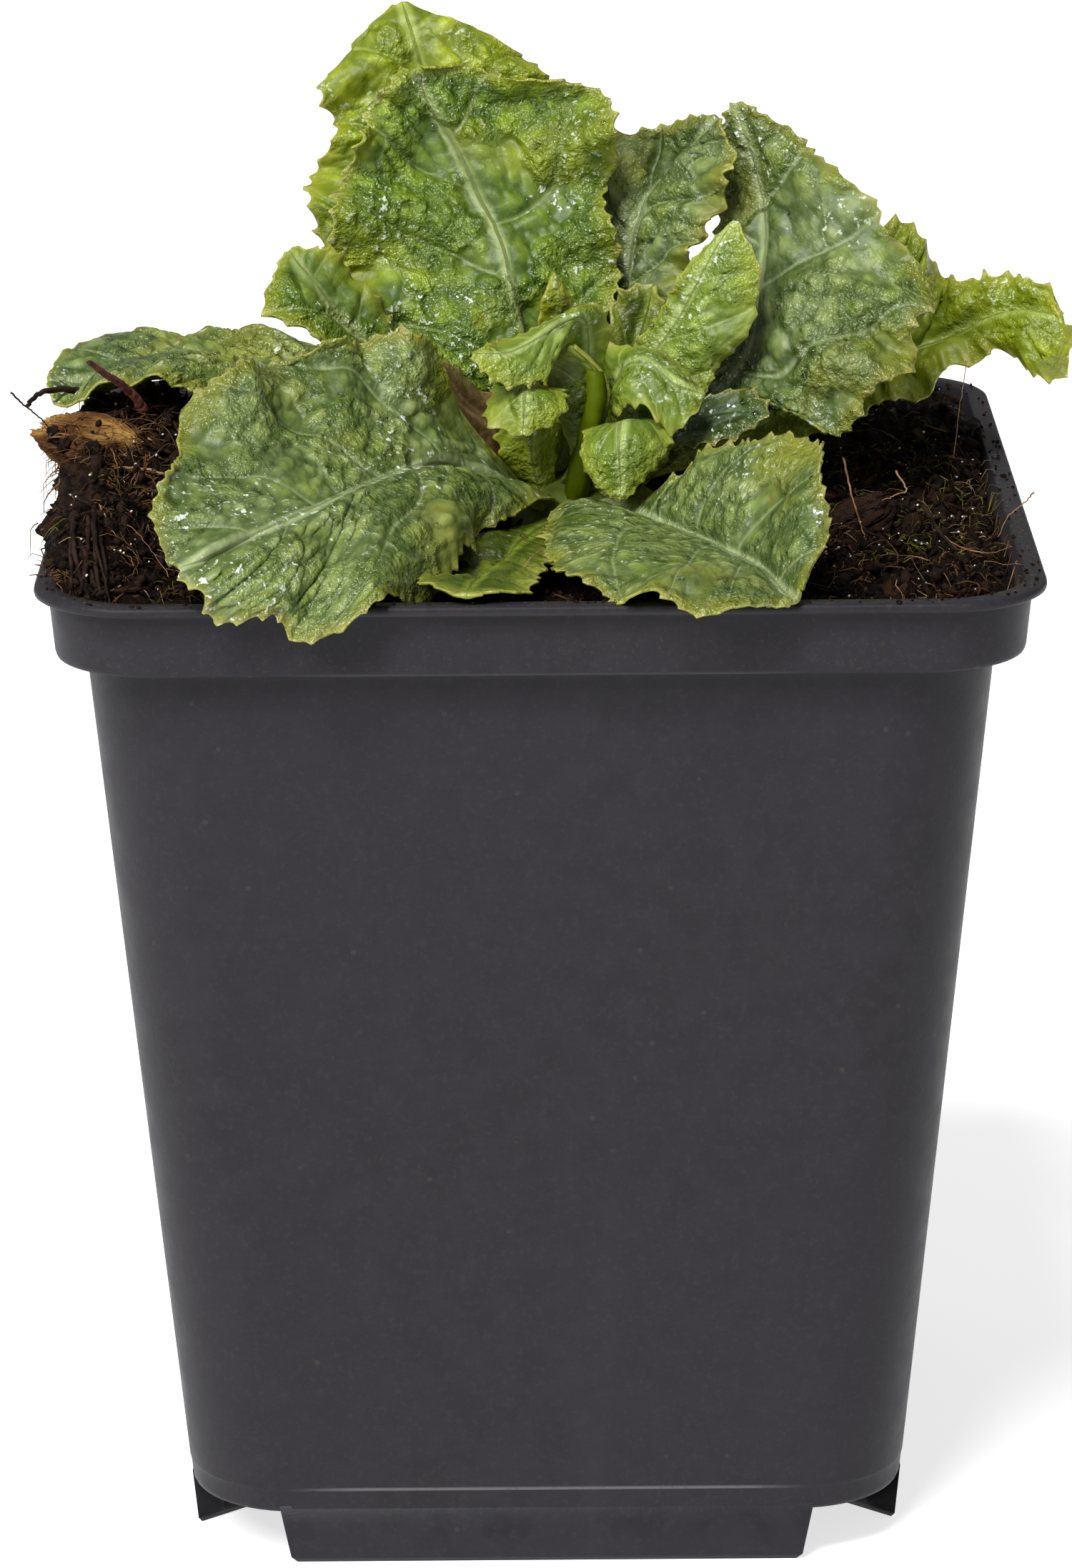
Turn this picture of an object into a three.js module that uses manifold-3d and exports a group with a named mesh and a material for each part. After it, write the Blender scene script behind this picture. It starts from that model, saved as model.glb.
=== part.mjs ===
// Potted primrose: a square nursery pot filled with peaty soil, a crown and a rosette of crinkled leaves.
// Millimetres, +Z up, the front of the pot towards -Y. Pieces are drawn from the centre of the pot's foot, and
// the whole part is moved at the end, so that its origin is the middle of its box at the ground.
import * as THREE from "three";
import { mergeVertices } from "three/addons/utils/BufferGeometryUtils.js";
import Module from "manifold-3d";

const wasm = await Module();
wasm.setup();

// ---------- driving dimensions ----------
const POT_HEIGHT = 96;
const LIP_HALF = 45; // half the width over the lip
const LIP_RADIUS = 9.5; // corner radius of the lip in plan
const LIP_THICK = 0.9;
const LIP_OVERHANG = 1.2;
const COLLAR_RADIUS = 9.1; // corner radius of the collar in plan
const COLLAR_BOTTOM = 89.2; // height of the step under the collar
const COLLAR_TAPER = 0.5;
const SHOULDER = 2.5; // how far the collar stands out from the body
const WALL = 0.8;
const FLOOR_Z = 5.2; // underside of the raised floor
const FLOOR_THICK = 1;
const FLOOR_HALF = 33.6; // half the width of the body at the floor
const FLOOR_ROUND = 0.5; // how far the floor's edge draws in
const FLOOR_ROUND_HEIGHT = 0.8;
const BODY_RADIUS = 10;
const FOOT_HALF_TOP = 25; // half the length of a foot at the floor
const FOOT_HALF_BOTTOM = 24;
const FOOT_INSET = 0.4; // how far the bottom of a foot draws in
const FOOT_DEEP = 4.6;
const FOOT_SLANT = 3.7; // how far the ends of a foot draw in over its depth
const FOOT_CHAMFER = 0.6;
const FACE_CLEAR = 0.02; // keeps the face of a foot just behind the wall above it
const DRAIN_RADIUS = 4;
const DRAIN_SIDES = 12;
const DRAIN_PLACE = 19; // the four outer drain holes, from the centre lines
const CLEAR = 0.3; // gap between touching pieces

const BLADE = 0.7; // thickness of a leaf blade
const RIB_DEPTH = 1.1; // how far the rib stands out below the blade at its base
const TOOTH = 1.1; // length of a marginal tooth
const CROWN_CENTRE = new THREE.Vector3(3.5, -3.8, 92.6);
const CROWN_SIZE = new THREE.Vector3(8.4, 8.2, 5.6);

// ---------- materials ----------
const material = (color, roughness) => new THREE.MeshStandardMaterial({ color, roughness, metalness: 0 });
const potPlastic = material(0x3a393e, 0.55);
const peat = material(0x2e2119, 0.95);
const wood = material(0xa4753f, 0.85);
const twigBark = material(0x4a2c22, 0.8);
const crownGreen = material(0x8a9550, 0.6);
const leafGlaucous = material(0x6a9160, 0.45);
const leafGreen = material(0x6f9f3c, 0.45);
const leafYellow = material(0x9aa63a, 0.45);

// ---------- closed meshes ----------
// A closed surface through rings of equal length, first ring at one end, capped at both ends.
function loft(rings) {
  const count = rings[0].length;
  const points = rings.flat();
  const faces = [];
  for (let r = 0; r + 1 < rings.length; r++) {
    for (let i = 0; i < count; i++) {
      const a = r * count + i;
      const b = r * count + ((i + 1) % count);
      faces.push(a, b, b + count, a, b + count, a + count);
    }
  }
  const caps = [rings[0], rings[rings.length - 1]].map((ring) => {
    const middle = new THREE.Vector3();
    ring.forEach((p) => middle.addScaledVector(p, 1 / count));
    points.push(middle);
    return points.length - 1;
  });
  const last = (rings.length - 1) * count;
  for (let i = 0; i < count; i++) {
    const next = (i + 1) % count;
    faces.push(caps[0], next, i, caps[1], last + i, last + next);
  }
  return indexed(points, faces);
}

function indexed(points, faces) {
  const geometry = new THREE.BufferGeometry().setFromPoints(points);
  geometry.setIndex(faces);
  return geometry;
}

function solidFrom(geometry) {
  const bare = geometry.clone();
  bare.deleteAttribute("normal");
  bare.deleteAttribute("uv");
  const merged = mergeVertices(bare, 1e-4);
  return new wasm.Manifold(
    new wasm.Mesh({
      numProp: 3,
      vertProperties: merged.attributes.position.array,
      triVerts: new Uint32Array(merged.index.array),
    }),
  );
}

function geometryFrom(solid) {
  const mesh = solid.getMesh();
  const geometry = new THREE.BufferGeometry();
  geometry.setAttribute("position", new THREE.BufferAttribute(new Float32Array(mesh.vertProperties), 3));
  geometry.setIndex(new THREE.BufferAttribute(new Uint32Array(mesh.triVerts), 1));
  geometry.computeVertexNormals();
  return geometry;
}

// ---------- pot ----------
const CORNER_STEPS = 4;

// A square with round corners, anticlockwise seen from above.
function squareRing(half, radius, z) {
  const ring = [];
  const reach = half - radius;
  for (let corner = 0; corner < 4; corner++) {
    const start = (corner * Math.PI) / 2;
    const cx = reach * Math.SQRT2 * Math.cos(start + Math.PI / 4);
    const cy = reach * Math.SQRT2 * Math.sin(start + Math.PI / 4);
    for (let step = 0; step <= CORNER_STEPS; step++) {
      const angle = start + ((Math.PI / 2) * step) / CORNER_STEPS;
      ring.push(new THREE.Vector3(cx + radius * Math.cos(angle), cy + radius * Math.sin(angle), z));
    }
  }
  return ring;
}

const COLLAR_HALF = LIP_HALF - LIP_OVERHANG;
const BODY_TOP_HALF = COLLAR_HALF - COLLAR_TAPER - SHOULDER;
const LIP_UNDER = POT_HEIGHT - LIP_THICK;
const FLOOR_TOP = FLOOR_Z + FLOOR_THICK;
const SHOULDER_TOP = COLLAR_BOTTOM + WALL;

function potShell() {
  return loft([
    squareRing(FLOOR_HALF - FLOOR_ROUND, BODY_RADIUS - FLOOR_ROUND, FLOOR_Z),
    squareRing(FLOOR_HALF, BODY_RADIUS, FLOOR_Z + FLOOR_ROUND_HEIGHT),
    squareRing(BODY_TOP_HALF, BODY_RADIUS, COLLAR_BOTTOM),
    squareRing(COLLAR_HALF - COLLAR_TAPER, COLLAR_RADIUS, COLLAR_BOTTOM),
    squareRing(COLLAR_HALF, COLLAR_RADIUS, LIP_UNDER),
    squareRing(LIP_HALF, LIP_RADIUS, LIP_UNDER),
    squareRing(LIP_HALF, LIP_RADIUS, POT_HEIGHT),
    squareRing(COLLAR_HALF - WALL, COLLAR_RADIUS - WALL, POT_HEIGHT),
    squareRing(COLLAR_HALF - COLLAR_TAPER - WALL, COLLAR_RADIUS - WALL, SHOULDER_TOP),
    squareRing(BODY_TOP_HALF - WALL, BODY_RADIUS - WALL, SHOULDER_TOP),
    squareRing(FLOOR_HALF - WALL, BODY_RADIUS - WALL, FLOOR_TOP),
  ]);
}

// A bar under one side of the floor, its ends cut at a slant in plan.
function foot() {
  const bar = (half, face, z) => {
    const back = face - FOOT_DEEP;
    return [
      new THREE.Vector3(-half, -face, z),
      new THREE.Vector3(half, -face, z),
      new THREE.Vector3(half - FOOT_SLANT, -back, z),
      new THREE.Vector3(FOOT_SLANT - half, -back, z),
    ];
  };
  const face = FLOOR_HALF - FACE_CLEAR;
  return loft([
    bar(FOOT_HALF_BOTTOM - FOOT_CHAMFER, face - FOOT_INSET - FOOT_CHAMFER / 2, 0),
    bar(FOOT_HALF_BOTTOM, face - FOOT_INSET, FOOT_CHAMFER),
    bar(FOOT_HALF_TOP, face, FLOOR_Z + FLOOR_ROUND_HEIGHT),
  ]);
}

function makePot() {
  let solid = solidFrom(potShell());
  for (let side = 0; side < 4; side++) {
    solid = solid.add(solidFrom(foot().rotateZ((side * Math.PI) / 2)));
  }
  const places = [[0, 0]];
  for (const x of [-DRAIN_PLACE, DRAIN_PLACE]) {
    for (const y of [-DRAIN_PLACE, DRAIN_PLACE]) {
      places.push([x, y]);
    }
  }
  for (const [x, y] of places) {
    const drill = new THREE.CylinderGeometry(DRAIN_RADIUS, DRAIN_RADIUS, 4 * FLOOR_THICK, DRAIN_SIDES);
    const drain = drill.rotateX(Math.PI / 2).translate(x, y, FLOOR_Z + FLOOR_THICK / 2);
    solid = solid.subtract(solidFrom(drain));
  }
  return solid;
}

// ---------- soil ----------
const SOIL_LEVEL = 94.4; // a little below the lip
const SOIL_LUMPS = 0.45; // height of its shallow waves
const SOIL_RINGS = 10;
const OUTER_RING = 0.985; // place of the outermost of them, as a share of the way to the edge
const SPILL = 1.4; // how far the heaped soil spills over the lip
const SOIL_SIDE_POINTS = 6; // points along each side of a ring of the soil's surface
const SOIL_EDGE_DROP = 0.8; // the soil's edge lies this much lower than its surface beside it
const SPILL_RISE = 1.2; // height over the lip at which the soil has spilled all the way

// The soil is heaped on the left and, lower, at the back on the right, and dips along the front.
const MOUNDS = [
  { height: 9.2, place: [-35.5, 4], spread: [9.5, 18] },
  { height: 3, place: [37, 22], spread: [8, 14] },
  { height: -0.9, place: [0, -38], spread: [Infinity, 8] },
];

function soilHeight(x, y) {
  let height = SOIL_LEVEL;
  for (const { height: rise, place, spread } of MOUNDS) {
    height += rise * Math.exp(-(((x - place[0]) / spread[0]) ** 2) - ((y - place[1]) / spread[1]) ** 2);
  }
  const lumps = Math.sin(0.55 * x + 1.3 * Math.sin(0.31 * y)) * Math.cos(0.47 * y - 0.4);
  return height + SOIL_LUMPS * lumps;
}

// A square ring with points along its sides too, for the soil's surface.
function soilRing(half, radius, height) {
  const ring = [];
  const reach = half - radius;
  for (let corner = 0; corner < 4; corner++) {
    const turn = new THREE.Matrix4().makeRotationZ((corner * Math.PI) / 2);
    for (let step = 0; step < SOIL_SIDE_POINTS; step++) {
      const y = -reach + (2 * reach * step) / SOIL_SIDE_POINTS;
      ring.push(new THREE.Vector3(half, y, 0).applyMatrix4(turn));
    }
    for (let step = 0; step < 3; step++) {
      const angle = (Math.PI / 2) * (step / 3);
      const x = reach + radius * Math.cos(angle);
      const y = reach + radius * Math.sin(angle);
      ring.push(new THREE.Vector3(x, y, 0).applyMatrix4(turn));
    }
  }
  ring.forEach((p) => (p.z = height(p.x, p.y)));
  return ring;
}

// Where the soil is heaped above the lip, it spills outwards over it.
function overhang(half, radius, height) {
  return soilRing(half, radius, height).map((p) => {
    const above = THREE.MathUtils.smoothstep(p.z, POT_HEIGHT, POT_HEIGHT + SPILL_RISE);
    const out = 1 + (SPILL * above) / half;
    return new THREE.Vector3(p.x * out, p.y * out, Math.min(p.z + 0.1, POT_HEIGHT + CLEAR + 0.1));
  });
}

function makeSoil() {
  const bodyHalf = BODY_TOP_HALF - WALL - CLEAR;
  const bodyRadius = BODY_RADIUS - WALL - CLEAR;
  const topHalf = COLLAR_HALF - COLLAR_TAPER - WALL - CLEAR;
  const topRadius = COLLAR_RADIUS - WALL - CLEAR;
  const level = (z) => () => z;
  const edgeHeight = (x, y) => soilHeight(x, y) - SOIL_EDGE_DROP;
  const rings = [
    soilRing(FLOOR_HALF - WALL - CLEAR, bodyRadius, level(FLOOR_TOP + CLEAR)),
    soilRing(bodyHalf, bodyRadius, level(SHOULDER_TOP + CLEAR - 0.2)),
    soilRing(topHalf, topRadius, level(SHOULDER_TOP + CLEAR)),
    soilRing(topHalf, topRadius, (x, y) => Math.min(edgeHeight(x, y), POT_HEIGHT - 0.2)),
    overhang(topHalf, topRadius, edgeHeight),
  ];
  for (let i = 0; i < SOIL_RINGS; i++) {
    const share = OUTER_RING * (1 - i / SOIL_RINGS);
    rings.push(soilRing(topHalf * share, topRadius * share, soilHeight));
  }
  return solidFrom(loft(rings));
}

// ---------- crown, wood and twigs ----------
const TWIG_SIDES = 6;
const TWIG_STEPS = 2; // rings from one point of its line to the next

// A lumpy ball: a sphere stretched to a size, with shallow waves over it.
function lump(size, waves, detail) {
  const geometry = mergeVertices(bareIcosphere(detail), 1e-4);
  const position = geometry.attributes.position;
  const p = new THREE.Vector3();
  for (let i = 0; i < position.count; i++) {
    p.fromBufferAttribute(position, i);
    const swell = 1 + waves * Math.sin(5 * p.x + 2) * Math.cos(4 * p.y + 1) + waves * Math.sin(6 * p.z);
    p.multiplyScalar(swell).multiply(size);
    position.setXYZ(i, p.x, p.y, p.z);
  }
  return geometry;
}

function bareIcosphere(detail) {
  const ball = new THREE.IcosahedronGeometry(1, detail);
  ball.deleteAttribute("normal");
  ball.deleteAttribute("uv");
  return ball;
}

// A tapering twig along a line of points, longer by extra at its far end.
function makeTwig(points, radius, extra = 0) {
  const line = points.map((p) => new THREE.Vector3(...p));
  const end = line[line.length - 1];
  end.addScaledVector(end.clone().sub(line[line.length - 2]).normalize(), extra);
  const curve = new THREE.CatmullRomCurve3(line);
  const steps = TWIG_STEPS * (points.length - 1);
  const frames = curve.computeFrenetFrames(steps, false);
  const rings = frames.tangents.map((_, i) => {
    const along = i / steps;
    const r = radius * (0.6 + 0.4 * along);
    return Array.from({ length: TWIG_SIDES }, (_unused, k) => {
      const angle = (2 * Math.PI * k) / TWIG_SIDES;
      return curve
        .getPointAt(along)
        .addScaledVector(frames.normals[i], r * Math.cos(angle))
        .addScaledVector(frames.binormals[i], r * Math.sin(angle));
    });
  });
  return loft(rings);
}

// ---------- leaves ----------
// Each leaf is drawn by three lines from its base to its tip: the rib, and the left and right edges as
// seen from above with the tip ahead. bow lifts each half between rib and edge, ruffle is the height,
// the number and the start of the waves along the edge.
const LEAVES = [
  {
    name: "leaf_front_left",
    material: leafGlaucous,
    rib: [
      [0.5, -9, 96.5], [-3, -13, 99.5], [-9, -18, 101.5], [-15, -24, 102.5],
      [-20, -31, 101], [-25.5, -39, 100.5], [-30.5, -47.5, 98.5],
    ],
    left: [
      [2, -10, 97], [-1.5, -17, 99], [-4, -28, 99], [-9.5, -41, 98.5],
      [-15.5, -47.5, 97], [-23.5, -49, 95], [-30.5, -47.5, 98.5],
    ],
    right: [
      [-1, -8, 97], [-5, -10, 103.5], [-12.5, -12, 110.5], [-19.5, -13, 113.5],
      [-28, -21, 111.5], [-33.5, -34, 106], [-30.5, -47.5, 98.5],
    ],
    bow: [1.8, 1.2],
    ruffle: [0.8, 4.5, 0.1],
  },
  {
    name: "leaf_front_right",
    material: leafGlaucous,
    rib: [
      [5.5, -9.5, 96.5], [8, -15, 98], [11, -24, 98], [14.5, -31, 97.5],
      [18, -37.5, 97], [20.5, -42.5, 96.5], [22.5, -47, 96.5],
    ],
    left: [
      [7.5, -9, 97], [11.5, -15, 99.5], [13.5, -18, 102.5], [20, -22, 107],
      [25, -30, 105.5], [25.5, -40, 101], [22.5, -47, 96.5],
    ],
    right: [
      [4, -10.5, 97], [4, -14, 99], [0, -25, 99], [2, -39.5, 97.5],
      [8.5, -47, 96.5], [16.5, -48, 96], [22.5, -47, 96.5],
    ],
    bow: [0.6, 1.8],
    ruffle: [0.5, 4, 0.3],
  },
  {
    name: "leaf_front_low",
    material: leafYellow,
    rib: [
      [2.5, -11.5, 95.5], [0.5, -17, 96], [-2, -24, 96], [-3.5, -31, 96],
      [-5, -37, 96.5], [-6, -41.5, 97], [-6.5, -45, 97],
    ],
    left: [
      [4, -11.5, 95.5], [3, -17, 95.5], [1, -24, 95.5], [0.5, -31, 96],
      [-0.5, -37, 96.5], [-1.5, -42.5, 97], [-6.5, -45, 97],
    ],
    right: [
      [1, -11, 95.5], [-2.5, -16, 95.5], [-7, -22, 95.5], [-10, -30, 95.5],
      [-11, -37, 96], [-9.5, -41.5, 97], [-6.5, -45, 97],
    ],
    bow: [0.3, 0.3],
    ruffle: [0.25, 5, 0.6],
  },
  {
    name: "leaf_back_tall",
    material: leafGreen,
    rib: [
      [0.5, 1, 97], [-0.5, 4, 103.5], [-2, 6, 109], [-4, 8, 115],
      [-6, 10, 122], [-7.5, 11.5, 127.5], [-9, 10.5, 135.5],
    ],
    left: [
      [-1, 1, 97.5], [-11.5, 2, 105.5], [-17, 4.5, 113.5], [-19, 7, 120.5],
      [-16, 9.5, 128], [-15, 11, 132], [-9, 10.5, 135.5],
    ],
    right: [
      [2, 1.5, 97.5], [6, 3, 105], [6.5, 6, 111], [7, 8, 117],
      [5, 10, 124.5], [6.5, 10.5, 130], [-9, 10.5, 135.5],
    ],
    bow: [-1, -1],
    ruffle: [1, 4.5, 0.2],
  },
  {
    name: "leaf_back_yellow",
    material: leafYellow,
    rib: [
      [-2, 4, 97], [-5, 8, 104], [-7.5, 10.5, 112], [-9, 12.5, 121],
      [-10.5, 14.5, 131], [-12, 15.5, 135.5], [-13, 16, 139],
    ],
    left: [
      [-3.5, 4, 97.5], [-13, 7, 106], [-21.5, 9, 116], [-20, 11, 121.5],
      [-21.5, 12.5, 126], [-20, 14, 131.5], [-13, 16, 139],
    ],
    right: [
      [-1, 5, 97.5], [0, 9, 105], [1.5, 11.5, 114], [2, 13.5, 122],
      [1, 15, 130], [-3, 16, 133.5], [-13, 16, 139],
    ],
    bow: [-1, -1],
    ruffle: [1, 5, 0.5],
  },
  {
    name: "leaf_left_small",
    material: leafGreen,
    rib: [
      [-3, -2, 97], [-8, -1.5, 102.5], [-13, -1, 107],
      [-19.5, -0.5, 112.5], [-21.5, 0, 115], [-23.5, 1.5, 118.5],
    ],
    left: [
      [-3, -3, 97], [-7.5, -4, 102], [-13, -4.5, 106],
      [-21.5, -4.5, 111.5], [-25, -3, 113.5], [-23.5, 1.5, 118.5],
    ],
    right: [
      [-3, -0.5, 97.5], [-7, 0.5, 104], [-12, 1.5, 109.5],
      [-17, 2.5, 114.5], [-18.5, 3, 117], [-23.5, 1.5, 118.5],
    ],
    bow: [0.8, 0.8],
    ruffle: [0.7, 3, 0.2],
  },
  {
    name: "leaf_left_low",
    material: leafGlaucous,
    rib: [
      [-4, 0.5, 96.5], [-12, 3, 101], [-20, 5, 104], [-28, 5.5, 106],
      [-36, 4.5, 106], [-42, 2.5, 105.5], [-46.5, 0.5, 106],
    ],
    left: [
      [-4, -0.5, 96.5], [-11.5, -1, 100], [-30, -4, 104], [-35, -5, 108],
      [-39.5, -5.5, 108.5], [-44.5, -4, 105.5], [-46.5, 0.5, 106],
    ],
    right: [
      [-3.5, 2, 97], [-12, 8, 102], [-27.5, 14, 108.5], [-32.5, 15.5, 108],
      [-38.5, 14.5, 108], [-44.5, 8, 107.5], [-46.5, 0.5, 106],
    ],
    bow: [1, 0.8],
    ruffle: [0.8, 5, 0],
  },
  {
    name: "leaf_left_torn",
    material: leafGlaucous,
    rib: [
      [-2, -4.5, 97], [-4, -5, 101], [-4.5, -6, 105],
      [-6, -6.5, 107], [-8.5, -6.5, 109], [-12, -6.5, 109],
    ],
    left: [
      [-1.5, -6, 97], [-3.5, -7.5, 100], [-5, -8.5, 103],
      [-7, -9.5, 105], [-10, -9.5, 107.5], [-12, -6.5, 109],
    ],
    right: [
      [-2.5, -3.5, 97.5], [-4, -3, 102], [-3.5, -3.5, 107.5],
      [-6, -3.5, 109.5], [-9, -4, 110.5], [-12, -6.5, 109],
    ],
    bow: [0.4, 0.4],
    ruffle: [0.4, 3, 0.4],
  },
  {
    name: "leaf_right_large",
    material: leafGlaucous,
    rib: [
      [8.5, -2.5, 96.5], [13, -2.5, 101.5], [20, -1, 108], [21, 2, 113.5],
      [21.5, 5, 119], [21, 8, 125], [19, 10, 130.5],
    ],
    left: [
      [8, -1.5, 96.5], [12, 1, 102.5], [16.5, 3, 106.5], [16.5, 5.5, 112],
      [17, 8, 117.5], [17, 11, 123.5], [19, 10, 130.5],
    ],
    right: [
      [9, -4, 96.5], [22, -5.5, 104.5], [27, -9, 103.5], [33, -8, 110.5],
      [35.5, -3, 116.5], [29.5, 4, 123.5], [19, 10, 130.5],
    ],
    bow: [-0.4, 1.4],
    ruffle: [0.6, 5, 0.2],
  },
  {
    name: "leaf_right_far",
    material: leafYellow,
    rib: [
      [8, 1, 96.5], [16, 4, 98.5], [25, 6.5, 101], [33, 8, 106],
      [39, 7, 108], [45.5, 4.5, 109], [49.5, 1.5, 109.5],
    ],
    left: [
      [8, 2, 96.5], [15, 8, 100.5], [23, 11.5, 107], [35.5, 13.5, 117],
      [40, 12, 112.5], [47, 7.5, 113.5], [49.5, 1.5, 109.5],
    ],
    right: [
      [8.5, -0.5, 96], [17, 2, 98], [26, 4, 99.5], [33.5, 5.5, 103.5],
      [39.5, 4.5, 106.5], [46.5, 2, 106.5], [49.5, 1.5, 109.5],
    ],
    bow: [1, 0.6],
    ruffle: [0.6, 5, 0.5],
  },
  {
    name: "leaf_back_grey",
    material: leafGlaucous,
    rib: [
      [5, 3, 97], [5.5, 6, 103], [8, 8.5, 111.5], [9, 10.5, 116],
      [10.5, 11.5, 120], [13, 11.5, 124], [17, 8, 129],
    ],
    left: [
      [3.5, 3, 97], [4, 7.5, 104], [6, 12, 112.5], [5.5, 14, 117],
      [5.5, 15.5, 121], [7, 16, 124.5], [17, 8, 129],
    ],
    right: [
      [6, 3, 97], [7.5, 5.5, 103], [11.5, 6, 112], [12.5, 6.5, 115],
      [16, 6, 120.5], [17.5, 7, 124.5], [17, 8, 129],
    ],
    bow: [0.6, 0.8],
    ruffle: [0.6, 4, 0.1],
  },
  {
    name: "leaf_right_cup",
    material: leafGreen,
    rib: [
      [7, -3.5, 97], [9.5, -3, 103], [12.5, -2.5, 109.5],
      [15, -3, 113.5], [17, -3.5, 117.5], [18.5, -3, 122],
    ],
    left: [
      [6.5, -2.5, 97.5], [8.5, -2, 104], [10.5, 0, 110.5],
      [12.5, -0.5, 114.5], [15, -1.5, 118], [18.5, -3, 122],
    ],
    right: [
      [7.5, -4.5, 97], [11, -4.5, 103], [15, -5, 108],
      [20, -5, 111], [20.5, -4, 116.5], [18.5, -3, 122],
    ],
    bow: [0.9, 0.9],
    ruffle: [0.3, 3, 0.1],
  },
  {
    name: "leaf_right_dark",
    material: leafGlaucous,
    rib: [[8.5, -6.5, 96], [12.5, -8, 97], [16, -9, 99], [20, -9.5, 100], [24, -9.5, 100.5]],
    left: [[9, -5.5, 96], [12.5, -5.5, 97], [16.5, -5.5, 98.5], [21, -6, 99.5], [24, -9.5, 100.5]],
    right: [[8, -7.5, 96], [12, -10.5, 96.5], [16, -12.5, 97.5], [20.5, -13, 98], [24, -9.5, 100.5]],
    bow: [0.4, 0.4],
    ruffle: [0.2, 2, 0.1],
  },
  {
    name: "leaf_centre_tall",
    material: leafYellow,
    rib: [
      [3, -6, 97], [4, -6.5, 101.5], [4, -7, 104.5],
      [5, -6.5, 108], [6, -6, 111], [5.5, -6.5, 113.5],
    ],
    left: [
      [2, -6, 97], [2, -6, 101.5], [2, -6.5, 104.5],
      [2.5, -7, 108.5], [3.5, -7.5, 112], [5.5, -6.5, 113.5],
    ],
    right: [
      [4.5, -6, 97], [6, -6.5, 101.5], [6, -7, 104.5],
      [7, -7, 108.5], [7.5, -7, 111.5], [5.5, -6.5, 113.5],
    ],
    bow: [0, 0],
    ruffle: [0.15, 3, 0.3],
  },
  {
    name: "leaf_centre_right",
    material: leafGreen,
    rib: [
      [5.5, -5.5, 97], [7, -5, 102], [8.5, -5.5, 105],
      [10, -6.5, 107.5], [12, -8, 107.5], [14.5, -9, 106],
    ],
    left: [
      [5.5, -4.5, 97.5], [7, -4, 103], [8, -4, 107.5],
      [9.5, -4.5, 110], [12, -6.5, 109], [14.5, -9, 106],
    ],
    right: [
      [6, -6.5, 97], [8, -6.5, 101.5], [10, -7, 102.5],
      [11, -8.5, 103], [12.5, -9.5, 103.5], [14.5, -9, 106],
    ],
    bow: [0.1, 0.1],
    ruffle: [0.15, 3, 0.2],
  },
  {
    name: "leaf_centre_left",
    material: leafGreen,
    rib: [
      [1, -4, 97.5], [0, -4.5, 103], [1, -6, 108.5],
      [-1, -7.5, 110], [-3.5, -9.5, 110], [-6, -11, 110],
    ],
    left: [
      [0.5, -5, 97], [-0.5, -6, 102.5], [0, -8.5, 106],
      [-1.5, -10.5, 107.5], [-4, -12, 108], [-6, -11, 110],
    ],
    right: [
      [1.5, -3, 97.5], [1, -3, 104], [1.5, -3.5, 110.5],
      [-0.5, -5, 111.5], [-4, -7.5, 111], [-6, -11, 110],
    ],
    bow: [0.8, 0.8],
    ruffle: [0.4, 3, 0.2],
  },
  {
    name: "leaf_centre_lobe",
    material: leafGreen,
    rib: [[0, -7, 97], [0, -9, 101.5], [-0.5, -11, 104.5], [-1.5, -13, 106.5], [-2, -15, 106]],
    left: [[1, -7.5, 97], [1.5, -10, 101], [1, -12.5, 103.5], [0, -15, 104.5], [-2, -15, 106]],
    right: [[-1, -6.5, 97], [-1.5, -8, 101.5], [-2.5, -10, 105.5], [-3.5, -12, 107], [-2, -15, 106]],
    bow: [0.6, 0.6],
    ruffle: [0.2, 2, 0.2],
  },
  {
    name: "leaf_centre_tip",
    material: leafYellow,
    rib: [[2.5, -2, 97.5], [2, -1.5, 103], [1.5, -1, 110.5], [1.5, 0, 113], [1.5, 0.5, 116]],
    left: [[1, -2, 97.5], [0.5, -1.5, 103], [0, -1.5, 110.5], [0, -0.5, 113.5], [1.5, 0.5, 116]],
    right: [[3.5, -2, 97.5], [4, -1.5, 103], [3.5, -1, 110.5], [3, -0.5, 113.5], [1.5, 0.5, 116]],
    bow: [0, 0],
    ruffle: [0, 3, 0.1],
  },
  {
    name: "leaf_right_curled",
    material: leafGreen,
    rib: [[5.5, -7.5, 97], [6.5, -10, 100.5], [8.5, -12, 103], [9.5, -15, 103.5], [9, -16.5, 101.5]],
    left: [[6.5, -7, 97], [8.5, -9, 99.5], [11, -11, 102], [12, -14, 102], [9, -16.5, 101.5]],
    right: [[4.5, -8, 97], [5, -10.5, 100], [6, -13, 102.5], [7, -15.5, 102.5], [9, -16.5, 101.5]],
    bow: [0.5, 0.5],
    ruffle: [0.1, 2, 0.2],
  },
  {
    name: "leaf_right_brown",
    material: leafYellow,
    rib: [[5.5, -0.5, 97.5], [7, 0, 102.5], [8.5, 1.5, 110], [8, 2.5, 113.5], [7.5, 3.5, 116.5]],
    left: [[4.5, -0.5, 97.5], [5, 0.5, 103], [7, 2.5, 110], [7, 3.5, 113.5], [7.5, 3.5, 116.5]],
    right: [[6.5, -1, 97.5], [8, -0.5, 102.5], [10.5, 1, 111], [10, 2, 113.5], [7.5, 3.5, 116.5]],
    bow: [0.2, 0.2],
    ruffle: [0.3, 3, 0.1],
  },
  {
    name: "leaf_behind_left",
    material: leafGreen,
    rib: [
      [1, 5, 96.5], [-1.5, 12.5, 103.5], [-4.5, 20, 108],
      [-6.5, 28, 108.5], [-8.5, 36, 105], [-9.5, 42, 100],
    ],
    left: [
      [-0.5, 5.5, 96.5], [-5.5, 12, 104], [-12, 19, 109],
      [-17, 28, 110.5], [-17, 36, 106.5], [-9.5, 42, 100],
    ],
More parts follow.
